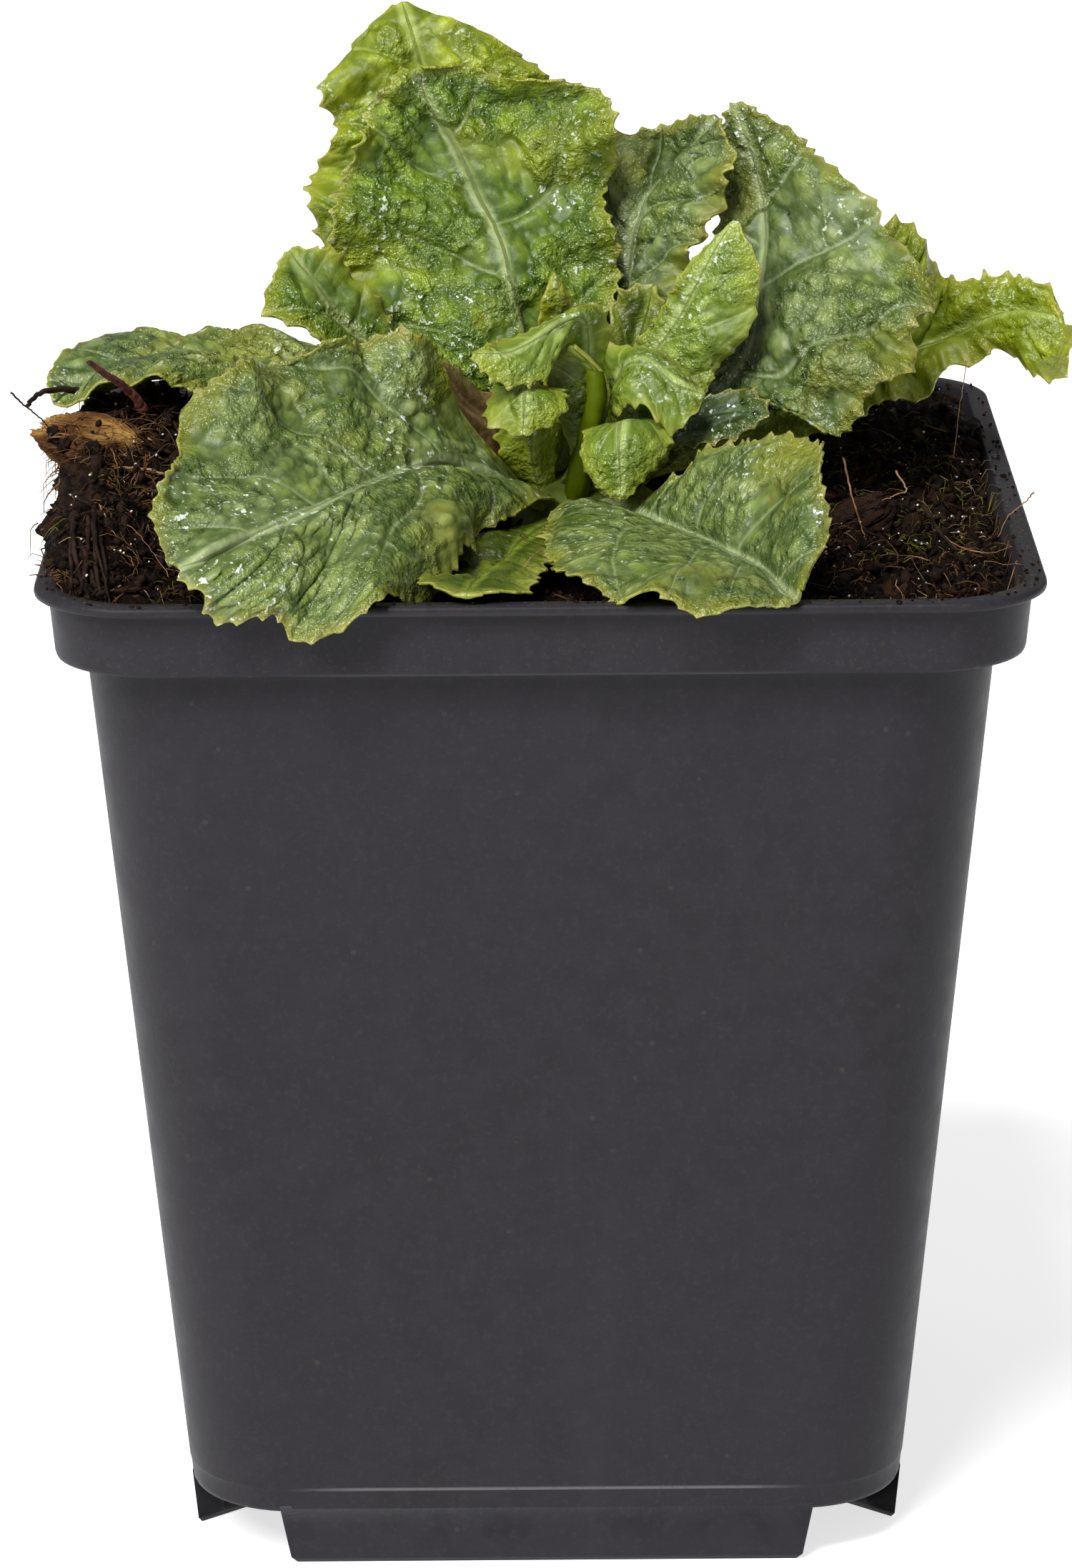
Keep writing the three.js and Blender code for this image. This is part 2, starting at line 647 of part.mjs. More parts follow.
    right: [
      [2, 5, 96.5], [2, 13, 104], [2.5, 21, 108.5],
      [2.5, 29, 108.5], [0.5, 37, 104.5], [-9.5, 42, 100],
    ],
    bow: [1, 1],
    ruffle: [0.8, 4, 0.3],
  },
  {
    name: "leaf_behind_right",
    material: leafGreen,
    rib: [[6, 4.5, 96], [11, 12, 102], [15.5, 19, 106], [20, 26, 107], [23.5, 33, 104], [26, 38.5, 99.5]],
    left: [
      [5, 5, 96], [8, 14, 102.5], [9, 22, 106.5],
      [12, 30.5, 107], [18, 37, 103.5], [26, 38.5, 99.5],
    ],
    right: [
      [7, 4, 96], [14.5, 10.5, 102], [22.5, 15, 107],
      [28.5, 20.5, 108.5], [30.5, 29.5, 105.5], [26, 38.5, 99.5],
    ],
    bow: [1, 1],
    ruffle: [0.8, 4, 0.6],
  },
];

const NARROW = 5; // a blade whose halves are all narrower than this has a coarser grid across
const ROW_LENGTH = 3.4; // wanted length of a row along the rib
const MOST_ROWS = 14;
const FEWEST_ROWS = 7;
const TIP_CUT = 0.95; // the blade ends here, a little short of the point where its lines meet
const TOOTHED_FROM = 0.25; // the petiole below this share of the length has no teeth
const TOOTHED_TO = 0.9;
const BOWED_WIDTH = 9; // a half blade narrower than this is bowed less
const SIDE_LAG = 0.37; // the right edge's waves start this much of a wave after the left edge's

const smooth = (x, from, to) => THREE.MathUtils.smoothstep(x, from, to);

// A point of the blade's middle surface: along from 0 at the base to 1 at the tip, and across from -1 at
// the right edge to 1 at the left edge.
function bladePoint(leaf, lines, along, across) {
  const rib = lines.rib.getPoint(along);
  const leftSide = across >= 0;
  const edge = (leftSide ? lines.left : lines.right).getPoint(along);
  const share = Math.abs(across);
  const span = edge.clone().sub(rib);
  const width = span.length();
  const lift = lines.rib.getTangent(along).cross(span).normalize();
  if (!leftSide) lift.negate();
  const bow = leaf.bow[leftSide ? 0 : 1] * 4 * share * (1 - share) * Math.min(1, width / BOWED_WIDTH) ** 2;
  const [height, waves, start] = leaf.ruffle;
  const phase = 2 * Math.PI * (waves * along + start + (leftSide ? 0 : SIDE_LAG));
  const open = smooth(along, 0.15, 0.45) * (1 - 0.5 * smooth(along, 0.85, 1));
  const wave = height * open * share * share * Math.sin(phase);
  return rib.addScaledVector(span, share).addScaledVector(lift, bow + wave);
}

// The greater of a leaf's two half widths at one of its drawn points.
function widthAt(leaf, i) {
  const rib = new THREE.Vector3(...leaf.rib[i]);
  return Math.max(...[leaf.left, leaf.right].map((edge) => rib.distanceTo(new THREE.Vector3(...edge[i]))));
}

// A leaf as a closed solid. grow makes it thicker and wider all round, for the hole it stands in.
function makeLeaf(leaf, grow = 0) {
  const line = (points) => new THREE.CatmullRomCurve3(points.map((p) => new THREE.Vector3(...p)));
  const lines = { rib: line(leaf.rib), left: line(leaf.left), right: line(leaf.right) };
  const wanted = Math.round(lines.rib.getLength() / ROW_LENGTH);
  const rows = THREE.MathUtils.clamp(wanted, FEWEST_ROWS, MOST_ROWS);
  const half = Math.max(...leaf.rib.map((_, i) => widthAt(leaf, i))) < NARROW ? 2 : 3;
  const columns = 2 * half;
  const ribDepth = half < 3 ? RIB_DEPTH / 2 : RIB_DEPTH;
  const points = [];
  const share = (i) => (TIP_CUT * i) / rows;
  for (let i = 0; i <= rows; i++) {
    for (let j = 0; j <= columns; j++) {
      points.push(bladePoint(leaf, lines, share(i), j / half - 1));
    }
  }
  const at = (i, j) => i * (columns + 1) + j;
  const normals = gridNormals(points, rows, columns, at);
  const faces = [];
  for (let i = 0; i < rows; i++) {
    for (let j = 0; j < columns; j++) {
      faces.push([at(i, j), at(i + 1, j), at(i + 1, j + 1)], [at(i, j), at(i + 1, j + 1), at(i, j + 1)]);
    }
  }
  // the point of a tooth beyond the middle of an edge from a to b, whose inner neighbour is c
  const addTooth = (a, b, c) => {
    const middle = points[a].clone().add(points[b]).multiplyScalar(0.5);
    const out = points[a].clone().sub(points[c]).normalize();
    points.push(middle.addScaledVector(out, TOOTH));
    normals.push(normals[a].clone().add(normals[b]).normalize());
    faces.push([a, b, points.length - 1]);
    return points.length - 1;
  };
  const toothed = (i) => share(i) > TOOTHED_FROM && share(i + 1) < TOOTHED_TO;
  const loop = [];
  for (let i = 0; i < rows; i++) {
    loop.push(at(i, 0));
    if (toothed(i)) loop.push(addTooth(at(i + 1, 0), at(i, 0), at(i + 1, 1)));
  }
  for (let j = 0; j < columns; j++) loop.push(at(rows, j));
  for (let i = rows; i > 0; i--) {
    loop.push(at(i, columns));
    if (toothed(i - 1)) {
      loop.push(addTooth(at(i - 1, columns), at(i, columns), at(i, columns - 1)));
    }
  }
  for (let j = columns; j > 0; j--) loop.push(at(0, j));
  if (grow > 0) spread(points, loop, at, rows, columns, grow);

  const above = points.map((p, k) => p.clone().addScaledVector(normals[k], BLADE / 2 + grow));
  const below = points.map((p, k) => {
    const row = Math.floor(k / (columns + 1));
    const onRib = row <= rows && k === at(row, half);
    const rib = onRib ? ribDepth * (1 - share(row)) : 0;
    return p.clone().addScaledVector(normals[k], -BLADE / 2 - rib - grow);
  });
  const count = points.length;
  const indices = [];
  for (const [a, b, c] of faces) indices.push(a, b, c, a + count, c + count, b + count);
  loop.forEach((a, k) => {
    const b = loop[(k + 1) % loop.length];
    indices.push(a + count, b + count, b, a + count, b, a);
  });
  return indexed([...above, ...below], indices);
}

function gridNormals(points, rows, columns, at) {
  const normals = [];
  for (let i = 0; i <= rows; i++) {
    for (let j = 0; j <= columns; j++) {
      const ahead = points[at(Math.min(i + 1, rows), j)].clone().sub(points[at(Math.max(i - 1, 0), j)]);
      const left = points[at(i, Math.min(j + 1, columns))].clone().sub(points[at(i, Math.max(j - 1, 0))]);
      normals.push(ahead.cross(left).normalize());
    }
  }
  return normals;
}

// Moves the edge of the blade outwards, and its base row back along the rib.
function spread(points, loop, at, rows, columns, grow) {
  const moved = new Map();
  for (let i = 0; i <= rows; i++) {
    for (const [edge, inner] of [[0, 1], [columns, columns - 1]]) {
      const out = points[at(i, edge)].clone().sub(points[at(i, inner)]).normalize();
      moved.set(at(i, edge), out.multiplyScalar(grow));
    }
  }
  const back = points[at(0, columns / 2)].clone().sub(points[at(1, columns / 2)]).normalize();
  for (let j = 0; j <= columns; j++) {
    const sideways = moved.get(at(0, j)) ?? new THREE.Vector3();
    moved.set(at(0, j), sideways.addScaledVector(back, grow));
  }
  moved.forEach((by, k) => points[k].add(by));
}

// ---------- assembly ----------
const WOOD = { name: "wood_chunk", place: [-41, -3.8, 100.6], size: [5.8, 2.5, 2], turn: [0.1, 0.28, -0.3] };
const CHIP = { name: "bark_chip", place: [31, -9.5, 95.6], size: [3.4, 2.2, 1.3], turn: [0.2, -0.3, 0.5] };
const TWIG_DARK = [
  [-47.5, -4.2, 103.4], [-45.5, -3.2, 104], [-43, -1.5, 103.7], [-40.5, 0.3, 102.7], [-38.8, 1.2, 101],
];
const TWIG_RED = [
  [-41.8, -9.2, 108.6], [-40.2, -7.8, 106.9], [-38.2, -6, 104.8], [-36.6, -4.6, 102.6], [-35.4, -3.4, 100.6],
];
const TWIG_RADIUS = 0.5;

const CHUNK_WAVES = 0.07; // height of the waves over a chunk of wood, as a share of its size
const CROWN_WAVES = 0.03;

function placedLump({ place, size, turn }, grow = 0) {
  const grown = new THREE.Vector3(...size).addScalar(grow);
  const geometry = lump(grown, CHUNK_WAVES, 3);
  const pose = new THREE.Matrix4().compose(
    new THREE.Vector3(...place),
    new THREE.Quaternion().setFromEuler(new THREE.Euler(...turn)),
    new THREE.Vector3(1, 1, 1),
  );
  return geometry.applyMatrix4(pose);
}

function crownBall(grow = 0) {
  const size = CROWN_SIZE.clone().addScalar(grow);
  const ball = lump(size, CROWN_WAVES, 4);
  return ball.translate(CROWN_CENTRE.x, CROWN_CENTRE.y, CROWN_CENTRE.z);
}

const plant = new THREE.Group();
const primrose = new THREE.Group();
primrose.add(plant);

function add(group, name, geometry, look) {
  const mesh = new THREE.Mesh(geometry, look);
  mesh.name = name;
  group.add(mesh);
}

const leafHoles = LEAVES.map((leaf) => solidFrom(makeLeaf(leaf, CLEAR)));
let crown = solidFrom(crownBall());
let soil = makeSoil().subtract(solidFrom(crownBall(CLEAR)));
for (const hole of leafHoles) {
  crown = crown.subtract(hole);
  soil = soil.subtract(hole);
}
for (const twig of [TWIG_DARK, TWIG_RED]) {
  soil = soil.subtract(solidFrom(makeTwig(twig, TWIG_RADIUS + CLEAR, CLEAR)));
}
for (const piece of [WOOD, CHIP]) {
  soil = soil.subtract(solidFrom(placedLump(piece, CLEAR)));
  add(primrose, piece.name, placedLump(piece), wood);
}
const largest = (solid) => solid.decompose().sort((a, b) => b.volume() - a.volume())[0];
add(primrose, "pot", geometryFrom(makePot()), potPlastic);
add(primrose, "soil", geometryFrom(largest(soil)), peat);
add(primrose, "twig_dark", makeTwig(TWIG_DARK, TWIG_RADIUS), twigBark);
add(primrose, "twig_red", makeTwig(TWIG_RED, TWIG_RADIUS), twigBark);
add(plant, "crown", geometryFrom(largest(crown)), crownGreen);
for (const leaf of LEAVES) {
  add(plant, leaf.name, makeLeaf(leaf), leaf.material);
}

// The origin goes to the middle of the foot of the whole part's box, leaves included.
const middle = new THREE.Box3().setFromObject(primrose).getCenter(new THREE.Vector3());
primrose.position.set(-middle.x, -middle.y, 0);

export default primrose;
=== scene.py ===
import math

import bmesh
import bpy
import numpy as np
from mathutils import Matrix, Vector


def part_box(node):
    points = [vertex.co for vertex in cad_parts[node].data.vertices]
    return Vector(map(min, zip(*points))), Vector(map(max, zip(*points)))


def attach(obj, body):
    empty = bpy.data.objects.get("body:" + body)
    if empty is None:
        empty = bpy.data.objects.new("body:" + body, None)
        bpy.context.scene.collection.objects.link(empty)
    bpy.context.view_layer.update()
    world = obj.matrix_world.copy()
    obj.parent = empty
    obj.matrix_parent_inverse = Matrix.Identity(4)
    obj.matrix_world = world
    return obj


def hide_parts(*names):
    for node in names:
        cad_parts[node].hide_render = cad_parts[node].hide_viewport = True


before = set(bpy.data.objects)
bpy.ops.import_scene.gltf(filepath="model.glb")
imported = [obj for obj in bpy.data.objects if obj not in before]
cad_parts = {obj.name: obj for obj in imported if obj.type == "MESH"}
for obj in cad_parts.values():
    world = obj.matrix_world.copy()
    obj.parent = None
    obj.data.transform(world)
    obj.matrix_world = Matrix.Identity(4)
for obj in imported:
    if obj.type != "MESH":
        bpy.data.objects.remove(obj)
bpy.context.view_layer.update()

MM = 0.001
pot_low, pot_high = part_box("pot")
# Everything is drawn from the middle of the pot's foot, and this is where that stands in the frame.
POT_CENTRE = np.array([(pot_low.x + pot_high.x) / 2 / MM, (pot_low.y + pot_high.y) / 2 / MM, 0.0])


# ---------- arrays and meshes ----------
def smoothstep(x, low, high):
    share = np.clip((np.asarray(x, float) - low) / (high - low), 0, 1)
    return share * share * (3 - 2 * share)


def unit(vectors):
    return vectors / np.maximum(np.linalg.norm(vectors, axis=-1, keepdims=True), 1e-9)


NOISE_CELLS = 64  # the noise repeats after this many cells
JITTER = 0.42  # how far a cell's point strays from its middle, in shares of the cell


def noise2(x, y, seed):
    """Smooth random waves between -1 and 1, one wave in about two units."""
    table = np.random.default_rng(seed).uniform(-1, 1, (NOISE_CELLS, NOISE_CELLS))
    column, row = np.floor(x).astype(int), np.floor(y).astype(int)
    fx, fy = smoothstep(x - column, 0, 1), smoothstep(y - row, 0, 1)
    a, b, c, d = (
        table[(column + i) % NOISE_CELLS, (row + j) % NOISE_CELLS] for j in (0, 1) for i in (0, 1)
    )
    return (a * (1 - fx) + b * fx) * (1 - fy) + (c * (1 - fx) + d * fx) * fy


def cells2(x, y, size, seed):
    """Distances to the nearest and second nearest of scattered points, in shares of a cell."""
    jitter = np.random.default_rng(seed).uniform(-JITTER, JITTER, (NOISE_CELLS, NOISE_CELLS, 2))
    gx, gy = x / size, y / size
    column, row = np.floor(gx).astype(int), np.floor(gy).astype(int)
    nearest = second = np.full(np.shape(gx), math.inf)
    for i in (-1, 0, 1):
        for j in (-1, 0, 1):
            offset = jitter[(column + i) % NOISE_CELLS, (row + j) % NOISE_CELLS]
            aside_x = column + i + 0.5 + offset[..., 0] - gx
            aside_y = row + j + 0.5 + offset[..., 1] - gy
            distance = np.hypot(aside_x, aside_y)
            second = np.minimum(second, np.maximum(nearest, distance))
            nearest = np.minimum(nearest, distance)
    return nearest, second


def placed(name, data):
    """A new object in the scene."""
    piece = bpy.data.objects.new(name, data)
    bpy.context.scene.collection.objects.link(piece)
    return piece


def make_piece(name, points, faces, material, slot, attributes=None, replaces=()):
    """A smooth mesh of faces that all have the same number of corners, as a piece of the object."""
    faces = np.asarray(faces, np.int32)
    mesh = bpy.data.meshes.new(name)
    mesh.vertices.add(len(points))
    mesh.vertices.foreach_set("co", ((points + POT_CENTRE) * MM).astype(np.float32).ravel())
    mesh.loops.add(faces.size)
    mesh.loops.foreach_set("vertex_index", faces.ravel())
    mesh.polygons.add(len(faces))
    mesh.polygons.foreach_set("loop_start", np.arange(0, faces.size, faces.shape[1], dtype=np.int32))
    mesh.update(calc_edges=True)
    mesh.shade_smooth()
    for key, values in (attributes or {}).items():
        kind, field = ("FLOAT_VECTOR", "vector") if values.ndim == 2 else ("FLOAT", "value")
        layer = mesh.attributes.new(key, kind, "POINT")
        layer.data.foreach_set(field, values.astype(np.float32).ravel())
    mesh.materials.append(material)
    piece = placed(name, mesh)
    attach(piece, "root")
    if replaces:
        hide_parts(*replaces)
    return piece


def copies(shapes, faces):
    """The points of many shapes with the same faces, and the faces of them all."""
    count, size, _ = shapes.shape
    first = (np.arange(count) * size)[:, None, None]
    return shapes.reshape(-1, 3), (faces[None] + first).reshape(-1, faces.shape[1])


def grid_faces(rows, columns):
    """Quads of a grid of points, one row after another."""
    index = np.arange(rows * columns).reshape(rows, columns)
    return np.stack([index[:-1, :-1], index[1:, :-1], index[1:, 1:], index[:-1, 1:]], -1).reshape(-1, 4)


def tube_faces(rings, sides, start=0):
    """Quads of a tube of points, one ring after another."""
    index = start + np.arange(rings * sides).reshape(rings, sides)
    following = np.roll(index, -1, axis=1)
    return np.stack([index[:-1], following[:-1], following[1:], index[1:]], -1).reshape(-1, 4)


def catmull(points, share):
    """Points of a centripetal Catmull-Rom line at shares from 0 to 1 of its drawn points."""
    drawn = np.asarray(points, float)
    last = len(drawn) - 1
    place = np.clip(share, 0, 1) * last
    index = np.minimum(place.astype(int), last - 1)
    w = (place - index)[:, None]
    line = np.vstack([2 * drawn[0] - drawn[1], drawn, 2 * drawn[-1] - drawn[-2]])
    p0, p1, p2, p3 = (line[index + k] for k in range(4))
    d0, d1, d2 = (
        np.sqrt(np.maximum(np.linalg.norm(b - a, axis=1, keepdims=True), 1e-4))
        for a, b in ((p0, p1), (p1, p2), (p2, p3))
    )
    t1 = ((p1 - p0) / d0 - (p2 - p0) / (d0 + d1) + (p2 - p1) / d1) * d1
    t2 = ((p2 - p1) / d1 - (p3 - p1) / (d1 + d2) + (p3 - p2) / d2) * d1
    bend = 2 * p1 - 2 * p2 + t1 + t2
    sag = -3 * p1 + 3 * p2 - 2 * t1 - t2
    return ((bend * w + sag) * w + t1) * w + p1


def arc_length(points):
    steps = np.linalg.norm(np.diff(points, axis=0), axis=1)
    return np.concatenate([[0], np.cumsum(steps)])


# ---------- materials ----------
class Nodes:
    """Short names for building a node tree."""

    def __init__(self, name):
        self.material = bpy.data.materials.new(name)
        self.material.use_nodes = True
        self.tree = self.material.node_tree

    def add(self, kind, **settings):
        node = self.tree.nodes.new("ShaderNode" + kind)
        for key, value in settings.items():
            setattr(node, key, value)
        return node

    def put(self, socket, value):
        if isinstance(value, bpy.types.NodeSocket):
            self.tree.links.new(value, socket)
        elif socket.type == "RGBA":
            socket.default_value = (*value, 1.0)
        else:
            socket.default_value = value

    def fill(self, node, **sockets):
        """Sets a node's inputs by their names and gives its first output."""
        for key, value in sockets.items():
            self.put(node.inputs[key.replace("_", " ")], value)
        return node.outputs[0]

    def attribute(self, name, output="Fac"):
        return self.add("Attribute", attribute_name=name).outputs[output]

    def math(self, operation, a, b=0.0):
        node = self.add("Math", operation=operation)
        self.put(node.inputs[0], a)
        self.put(node.inputs[1], b)
        return node.outputs[0]

    def times(self, a, b):
        return self.math("MULTIPLY", a, b)

    def span(self, value, low, high, out_low=0.0, out_high=1.0):
        """A value's place between low and high, smoothed, as a number between the two outer ones."""
        node = self.add("MapRange", interpolation_type="SMOOTHSTEP")
        for socket, number in zip(node.inputs, (value, low, high, out_low, out_high)):
            self.put(socket, number)
        return node.outputs[0]

    def mix(self, share, a, b):
        node = self.add("Mix", data_type="RGBA")
        for index, value in zip((0, 6, 7), (share, a, b)):  # the inputs of a mix of colours
            self.put(node.inputs[index], value)
        return node.outputs[2]

    def layered(self, tone, *layers):
        """A colour under others, each given as its share and its colour, the lowest first."""
        for share, colour in layers:
            tone = self.mix(share, tone, colour)
        return tone

    def noise(self, scale, detail=3.0, roughness=0.55, place=None):
        node = self.add("TexNoise")
        return self.fill(node, Scale=scale, Detail=detail, Roughness=roughness, Vector=place or self.place())

    def place(self):
        """Where a point lies in its piece."""
        if not hasattr(self, "coordinates"):
            self.coordinates = self.add("TexCoord")
        return self.coordinates.outputs["Object"]

    def stretched(self, *stretch):
        """The place in space, stretched, for streaks."""
        node = self.add("VectorMath", operation="MULTIPLY")
        self.put(node.inputs[0], self.place())
        self.put(node.inputs[1], stretch)
        return node.outputs[0]

    def bump(self, height, strength, distance, **under):
        """A normal for fine relief, on top of coarser relief where Normal is given."""
        return self.fill(self.add("Bump"), Height=height, Strength=strength, Distance=distance, **under)

    def finish(self, **sockets):
        self.fill(self.tree.nodes["Principled BSDF"], **sockets)
        return self.material


def leaf_material(name, deep, fresh, bloom, rim, vein, bloom_share, wetness):
    """Leaf tissue: green with a grey bloom on its pillows, painted shade in the valleys, a pale rim and pale
    veins, and wet patches with painted glints.
    """
    n = Nodes(name)
    edge, rib, pillow = n.attribute("edge_mm"), n.attribute("rib_mm"), n.attribute("pillow")
    flat = n.attribute("flat", "Vector")
    patches = n.noise(210, 4, 0.6)
    fine = n.noise(1500, 4, 0.65)
    cover = n.times(n.span(patches, 0.38, 0.62, 0.45, 1.0), n.span(pillow, 0.0, 0.7, 0.4, 1.0))
    cover = n.times(cover, n.span(n.noise(0.9, 3, 0.6, flat), 0.35, 0.65, 0.55, 1.0))
    vein_width = n.span(rib, 0.0, 14.0, 0.2, 0.08)
    beside = n.math("SUBTRACT", n.math("ABSOLUTE", n.attribute("vein_sine")), vein_width)
    vein_line = n.times(n.span(beside, -0.12, 0.16, 1.0, 0.0), n.span(n.attribute("vein_cosine"), 0.0, 0.4))
    rib_line = n.span(rib, 0.25, 0.95, 1.0, 0.0)
    lines = n.math("MAXIMUM", n.times(vein_line, 0.42), n.times(rib_line, 0.75))
    ragged = n.math("ADD", edge, n.times(n.math("SUBTRACT", patches, 0.5), 4.0))
    wet = n.times(n.span(n.noise(120, 2, 0.5), 0.42, 0.5), wetness)
    # painted glints: tiny white specks in clusters, most in the valleys and near the rib, where wet spots
    # would shine
    painted_glints = n.times(n.span(n.noise(1500, 2, 0.6), 0.61, 0.67), n.span(n.noise(105, 2, 0.5), 0.51, 0.6))
    painted_glints = n.times(painted_glints, n.span(pillow, 0.2, 0.7, 1.0, 0.3))
    painted_glints = n.times(painted_glints, n.span(rib, 4.0, 15.0, 1.0, 0.3))
    tone = n.layered(
        deep,
        (n.span(n.noise(85, 3, 0.55), 0.36, 0.62, 0.3, 1.0), fresh),
        (n.span(pillow, 0.1, 0.9, 0.78, 0.0), deep),  # painted shade: the valleys between the pillows are darkened
        (n.times(cover, bloom_share), bloom),
        (n.span(fine, 0.5, 0.8, 0.0, 0.3), bloom),
        (n.span(fine, 0.22, 0.44, 0.3, 0.0), deep),
        (n.span(n.noise(330, 3, 0.6), 0.3, 0.48, 0.5, 0.0), deep),
        (n.times(n.span(n.noise(62, 3, 0.6), 0.53, 0.68), 0.4), rim),  # paler blotches
        (lines, vein),
        (n.span(ragged, 0.0, 2.0, 0.4, 0.0), rim),
        (n.span(edge, 0.0, 0.3, 0.5, 0.0), (0.36, 0.34, 0.08)),
        (n.times(n.attribute("tooth_tip"), 0.6), (0.45, 0.4, 0.13)),
        (n.attribute("underside"), n.mix(0.55, n.mix(lines, fresh, vein), rim)),
        # painted glints: white specks that stand in for light shining off wet spots
        (n.times(painted_glints, wetness), (0.74, 0.8, 0.72)),
    )
    rough = n.layered((0.46, 0.46, 0.46), (wet, (0.07, 0.07, 0.07)), (n.times(fine, 0.25), (0.6, 0.6, 0.6)))
    domes = n.bump(n.noise(0.8, 1, 0.5, flat), 0.7, 0.0005)
    ripples = n.bump(n.times(n.noise(750, 3, 0.6), wet), 0.9, 0.0013, Normal=domes)
    return n.finish(
        Base_Color=tone,
        Roughness=rough,
        Normal=n.bump(fine, 0.5, 0.0002, Normal=ripples),
        Specular_IOR_Level=0.45,
        Subsurface_Weight=0.12,
        Subsurface_Radius=(0.6, 1.0, 0.25),
        Subsurface_Scale=0.0012,
    )


# Each look's slot, its colours deep, fresh, bloom, rim and vein, and its shares of bloom and of wet.
LOOKS = {
    "glaucous": ("leaf_glaucous", (0.014, 0.042, 0.0015), (0.122, 0.178, 0.004), (0.28, 0.337, 0.132),
                 (0.27, 0.265, 0.02), (0.31, 0.37, 0.17), 0.65, 0.8),
    "dark": ("leaf_glaucous", (0.01, 0.028, 0.003), (0.03, 0.065, 0.008), (0.07, 0.11, 0.035),
             (0.1, 0.14, 0.02), (0.07, 0.11, 0.04), 0.3, 1.0),
    "fresh": ("leaf_green", (0.018, 0.052, 0.0008), (0.145, 0.228, 0.004), (0.275, 0.37, 0.055),
              (0.3, 0.32, 0.012), (0.25, 0.31, 0.1), 0.45, 0.9),
    "young": ("leaf_green", (0.055, 0.1, 0.002), (0.17, 0.25, 0.008), (0.32, 0.41, 0.085),
              (0.31, 0.35, 0.025), (0.32, 0.4, 0.12), 0.6, 0.6),
    "yellow green": ("leaf_yellow", (0.07, 0.11, 0.001), (0.26, 0.32, 0.005), (0.4, 0.45, 0.035),
                     (0.36, 0.36, 0.012), (0.3, 0.37, 0.07), 0.3, 0.5),
    # the stalk look: a dark olive, partly a stalk's own colour and partly painted shade for leaves that lie
    # in shade
    "stalk": ("leaf_yellow", (0.026, 0.046, 0.0003), (0.075, 0.108, 0.0004), (0.1, 0.14, 0.001),
              (0.3, 0.33, 0.035), (0.16, 0.21, 0.02), 0.1, 0.3),
    "dry": ("leaf_yellow", (0.03, 0.014, 0.003), (0.11, 0.055, 0.014), (0.16, 0.09, 0.03),
            (0.2, 0.13, 0.04), (0.18, 0.11, 0.045), 0.5, 0.2),
}
LEAF_MATERIALS = {look: leaf_material("leaf " + look, *tones) for look, (_, *tones) in LOOKS.items()}
DULL = 0.1  # specular level of matt stuff


def plain_material(name, low, high, scale, roughness, streak=(1, 1, 1), bump=0.4, depth=0.0003):
    """Rough stuff in two tones that run into each other."""
    n = Nodes(name)
    waves = n.noise(scale, 4, 0.6, n.stretched(*streak))
    fine = n.noise(scale * 4, 3, 0.6, n.stretched(*streak))
    tone = n.mix(n.span(waves, 0.36, 0.64), low, high)
    normal = n.bump(fine, bump, depth)
    return n.finish(Base_Color=tone, Roughness=roughness, Normal=normal, Specular_IOR_Level=DULL)


def soil_material():
    n = Nodes("peat")
    grains = n.noise(1500, 5, 0.65)
    clods = n.noise(320, 4, 0.6)
    tone = n.layered(
        (0.003, 0.0014, 0.0008),
        (n.span(clods, 0.35, 0.65), (0.014, 0.0068, 0.0034)),
        (n.span(grains, 0.56, 0.72), (0.042, 0.021, 0.01)),
        (n.span(n.noise(800, 2), 0.68, 0.76, 0.0, 0.5), (0.12, 0.07, 0.035)),
        # painted shade: darker in the cracks between the clods, and on the soil's sides in the pot
        (n.times(n.attribute("painted_shade"), 0.85), (0.002, 0.001, 0.0007)),
    )
    rough = n.span(n.noise(420, 3), 0.35, 0.62, 0.35, 0.9)
    normal = n.bump(grains, 1.0, 0.0008, Normal=n.bump(clods, 1.0, 0.0025))
    return n.finish(Base_Color=tone, Roughness=rough, Normal=normal, Specular_IOR_Level=0.08)


def pot_material():
    n = Nodes("pot plastic")
    mottle = n.noise(330, 4, 0.6)
    streaks = n.noise(60, 3, 0.6, n.stretched(1, 1, 0.12))
    specks = n.fill(n.add("TexVoronoi"), Scale=230, Vector=n.place())
    dust = n.times(n.attribute("dust"), n.span(n.noise(2200, 4, 0.7), 0.57, 0.66))
    tone = n.layered(
        (0.018, 0.0169, 0.02),
        (n.span(mottle, 0.35, 0.65), (0.022, 0.0207, 0.0243)),
        (n.span(n.noise(26, 3, 0.5), 0.35, 0.65, 0.0, 0.45), (0.0215, 0.0198, 0.0252)),
        (n.span(streaks, 0.55, 0.72, 0.0, 0.35), (0.031, 0.0288, 0.0335)),
        (n.span(specks, 0.04, 0.075, 0.4, 0.0), (0.06, 0.046, 0.038)),
        (dust, (0.09, 0.055, 0.035)),
        (n.attribute("pale"), (0.2, 0.195, 0.2)),
        (n.span(n.noise(1500, 4, 0.7), 0.5, 0.72, 0.0, 0.4), (0.034, 0.032, 0.037)),  # scuffs
    )
    rough = n.span(mottle, 0.3, 0.7, 0.4, 0.5)
    normal = n.bump(n.noise(4200, 3, 0.6), 0.2, 0.0001, Normal=n.bump(mottle, 0.25, 0.00015))
    return n.finish(Base_Color=tone, Roughness=rough, Normal=normal, Specular_IOR_Level=DULL)


